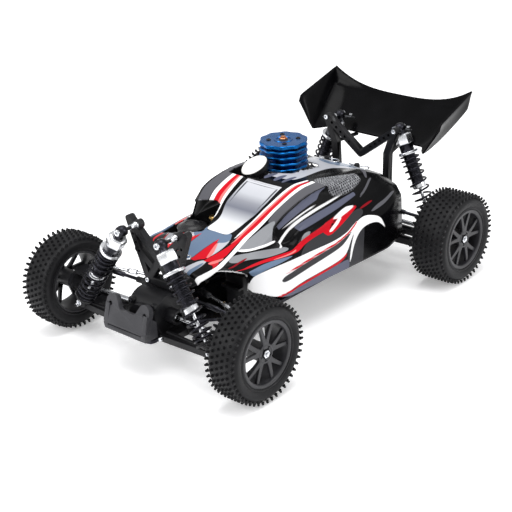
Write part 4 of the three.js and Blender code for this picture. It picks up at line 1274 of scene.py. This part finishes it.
SCREEN_LINES = (
    ((-1.6, -1), (-1.6, -1), (-1.6, 0.9), (-0.8, 0.9), (-0.8, -1), (-0.8, -1)),
    ((1.0, -1), (1.0, -1), (1.0, 0.93), (1.6, 0.93), (1.6, -1), (1.6, -1)),
    ((-20, 0.88), (0, 0.86), (0, 0.9), (-20, 0.91)),
    ((-28, 0.78), (-20, 0.82), (0, 0.8), (0, 0.83), (-20, 0.85), (-28, 0.82)),
)
MESH_PRINT = ((27, 1.8), (31, 1.5), (38, 1.55), (50, 2.0), (62, 2.6), (78, 3.2), (72, 3.36), (50, 3.46),
              (30, 3.3), (26, 2.7))
SIDE_WINDOW = ((-45, 3.35), (-42, 2.85), (-34, 2.66), (-10, 2.7), (20, 2.86), (62, 3.4), (55, 3.56),
               (20, 3.74), (-15, 3.78), (-32, 4.1), (-41, 3.9))
FRONT_ARCH = ((-130, 4.75), (-112, 4.38), (-104, 3.98), (-98.5, 3.5), (-94, 3.75), (-89.8, 4.6),
              (-87.8, 5.4), (-88, 6.6), (-88, 6.6), (-130, 6.6), (-130, 6.6))
ENGINE_OPENING = ((-45, 3), (-9, 3), (-9, 3), (-8, 24), (5, 34), (5, 34), (5, 72), (-4, 82), (-45, 82))
TANK_OPENING = ((-63, -56), (-60, -71), (-40, -74.5), (-24, -72), (-12, -66), (-15, -54), (-19.5, -43),
                (-22.6, -31), (-22.6, -31), (-29, -29.5), (-29, -29.5), (-46, -36.4),
                (-62, -43), (-62, -43))


def lane_of(x, y):
    """The signed lane where the shell's top passes over a place."""
    lanes = np.linspace(0, LANES - 1, 200)
    across = shell_surface(np.full(len(lanes), float(y)), lanes)[:, 0]
    return math.copysign(float(np.interp(abs(x), across, lanes)), x)


def as_lanes(plan):
    """An outline in plan (x, y) as an outline in (y, signed lane)."""
    ring = []
    for (x0, y0), (x1, y1) in zip(plan, plan[1:] + plan[:1]):
        for k in range(6):
            t = k / 6
            x = x0 + (x1 - x0) * t
            y = y0 + (y1 - y0) * t
            ring.append((y, lane_of(x, y)))
    return ring


def paint_material(layers):
    """The print's layers, which also hold painted highlights and a painted reflection, the windscreen and
    the mesh print over a black shell.
    """
    surface = Surface("shell_paint", 0.22, specular=0.09)

    def stencil(name, soft=0.16):
        reader = surface.node("ShaderNodeAttribute", attribute_name=name)
        return surface.ranged(reader.outputs["Fac"], 0, 1, -soft, soft)

    drift = surface.noise(60.0, 2.0)
    colour = surface.mixed(surface.ranged(drift, 0, 1), BLACK, srgb(8, 8, 10))
    for index, (tone, _) in enumerate(layers):
        colour = surface.mixed(stencil(f"ink_{index}"), colour, tone)
    along = surface.node("ShaderNodeAttribute", attribute_name="along").outputs["Fac"]
    lane = surface.node("ShaderNodeAttribute", attribute_name="lane").outputs["Fac"]
    ramp = surface.node("ShaderNodeValToRGB")
    stops = ((0.0, srgb(232, 233, 235)), (0.3, srgb(202, 204, 208)), (0.5, srgb(112, 115, 126)),
             (0.62, srgb(138, 140, 148)), (0.75, srgb(182, 184, 190)), (1.0, srgb(196, 197, 202)))
    for _ in range(len(stops) - 2):
        ramp.color_ramp.elements.new(0.5)
    for element, (place, tone) in zip(ramp.color_ramp.elements, stops):
        element.position = place
        element.color = tone
    surface.join(surface.ranged(along, 0, 1, *SCREEN_SPAN), ramp.inputs["Fac"])
    colour = surface.mixed(stencil("screen"), colour, ramp.outputs["Color"])
    colour = surface.mixed(stencil("screen_lines"), colour, srgb(60, 62, 68))
    weave = surface.node("ShaderNodeTexBrick", {
        "Scale": 1.0, "Mortar Size": 0.34, "Brick Width": 2.6, "Row Height": 1.5,
        "Color1": srgb(176, 178, 182), "Color2": srgb(120, 121, 126), "Mortar": srgb(34, 34, 37),
    })
    chart = surface.node("ShaderNodeCombineXYZ")
    surface.join(surface.ranged(lane, 0, LANES * LANE_WIDTH, 0, LANES), chart.inputs["X"])
    surface.join(along, chart.inputs["Y"])
    surface.join(chart.outputs["Vector"], weave.inputs["Vector"])
    colour = surface.mixed(stencil("mesh_print", 0.6), colour, weave.outputs["Color"])
    surface.join(colour, surface.shader.inputs["Base Color"])
    surface.grain(0.22, 0.02, 60.0, 0.004)
    return surface.material


def snapped(outline, y, lane):
    """The grid's places, with those beside an outline moved onto it."""
    ring = eased(outline)
    ring_y = ring[:, 0]
    ring_lane = ring[:, 1] * LANE_WIDTH
    close = np.full(len(y), FAR)
    to_y = y.copy()
    to_lane = lane * LANE_WIDTH
    for x0, y0, x1, y1 in zip(ring_y, ring_lane, np.roll(ring_y, -1), np.roll(ring_lane, -1)):
        dx = x1 - x0
        dy = y1 - y0
        size = max(dx * dx + dy * dy, 1e-9)
        t = np.clip(((y - x0) * dx + (lane * LANE_WIDTH - y0) * dy) / size, 0, 1)
        foot_y = x0 + t * dx
        foot_lane = y0 + t * dy
        gap = (y - foot_y) ** 2 + (lane * LANE_WIDTH - foot_lane) ** 2
        nearer = gap < close
        close = np.where(nearer, gap, close)
        to_y = np.where(nearer, foot_y, to_y)
        to_lane = np.where(nearer, foot_lane, to_lane)
    inner = (np.abs(lane) < LANES - 1e-6) & (y > SHELL_FRONT) & (y < SHELL_REAR)
    snap = (close < (0.62 * SHELL_STEP) ** 2) & inner
    return np.where(snap, to_y, y), np.where(snap, to_lane / LANE_WIDTH, lane)


def shell_points(y, lane):
    """Places on the shell with its side windows sunk in and its nose rolled down."""
    place = shell_surface(y, np.abs(lane))
    recess = 5.0 - 2.5 * np.clip((y + 40) / 100, 0, 1)
    sink = np.clip(depth_inside(SIDE_WINDOW, y, np.abs(lane)) / 3.0, 0, 1) * recess
    x = place[:, 0] - sink * 0.9
    lip = np.clip((SHELL_FRONT + 4 - y) / 4, 0, 1)
    z = place[:, 1] - sink * 0.25 - 1.6 * lip ** 2
    return np.stack([np.sign(lane) * x, y + SHIFT_Y, z], axis=1) * MM


def open_faces(quads, openings, points, y, lane):
    """The faces that aren't in an opening or round a post."""
    keep = np.ones(len(quads), bool)
    for outline in openings:
        keep &= depth_inside(outline, y[quads].mean(axis=1), lane[quads].mean(axis=1)) < 0
    middle = points[quads].mean(axis=1)
    for post_x, post_y, *_ in BODY_POSTS:
        away = np.hypot(middle[:, 0] / MM - post_x, middle[:, 1] / MM - SHIFT_Y - post_y)
        keep &= away > 3.4
    return quads[keep]


def print_fields(y, lane):
    """How deep each place lies in each printed area."""
    def deepest(outlines):
        return np.max([depth_inside(outline, y, lane) for outline in outlines], axis=0)

    fields = {"along": y, "lane": lane}
    for number, (_, outlines) in enumerate(LIVERY_AND_HIGHLIGHTS):
        fields[f"ink_{number}"] = deepest(outlines)
    fields["screen"] = deepest([WINDSCREEN])
    fields["screen_lines"] = deepest(SCREEN_LINES)
    fields["mesh_print"] = deepest([MESH_PRINT])
    return fields


def body_shell():
    """One thin sheet, drawn as a grid over the sections, with its openings cut out."""
    columns = int((SHELL_REAR - SHELL_FRONT) / SHELL_STEP)
    y_line = np.linspace(SHELL_FRONT, SHELL_REAR, columns + 1)
    lane_line = np.linspace(-LANES, LANES, 2 * LANES * COLUMNS_PER_LANE + 1)
    y, lane = [grid.ravel() for grid in np.meshgrid(y_line, lane_line, indexing="ij")]
    mirrored_arch = [(along, -across) for along, across in FRONT_ARCH]
    openings = [as_lanes(ENGINE_OPENING), as_lanes(TANK_OPENING), FRONT_ARCH, mirrored_arch]
    for outline in openings:
        y, lane = snapped(outline, y, lane)
    points = shell_points(y, lane)
    index = np.arange(len(y)).reshape(len(y_line), len(lane_line))
    corners = [index[:-1, :-1], index[:-1, 1:], index[1:, 1:], index[1:, :-1]]
    quads = open_faces(np.stack(corners, axis=-1).reshape(-1, 4), openings, points, y, lane)
    mesh = bpy.data.meshes.new("painted_shell")
    mesh.from_pydata(points.tolist(), [], quads.tolist())
    for name, values in print_fields(y, np.abs(lane)).items():
        layer = mesh.attributes.new(name, "FLOAT", "POINT")
        layer.data.foreach_set("value", values.astype(np.float32))
    built = bmesh.new()
    built.from_mesh(mesh)
    bmesh.ops.delete(built, geom=[v for v in built.verts if not v.link_faces], context="VERTS")
    bmesh.ops.recalc_face_normals(built, faces=built.faces)
    top_face = max(built.faces, key=lambda f: f.calc_center_median().z)
    if top_face.normal.z < 0:
        bmesh.ops.reverse_faces(built, faces=built.faces)
    built.to_mesh(mesh)
    built.free()
    obj = add_object("painted_shell", mesh)
    dress(obj, "shell", [paint_material(LIVERY_AND_HIGHLIGHTS), BLACK_PLASTIC], NODE_SLOT["body_shell"],
          replaces=["body_shell"], smooth=50)
    thick = obj.modifiers.new("skin", "SOLIDIFY")
    thick.thickness = SHELL_SKIN * MM
    thick.offset = -1.0
    thick.material_offset = 1


body_shell()

bpy.context.view_layer.update()
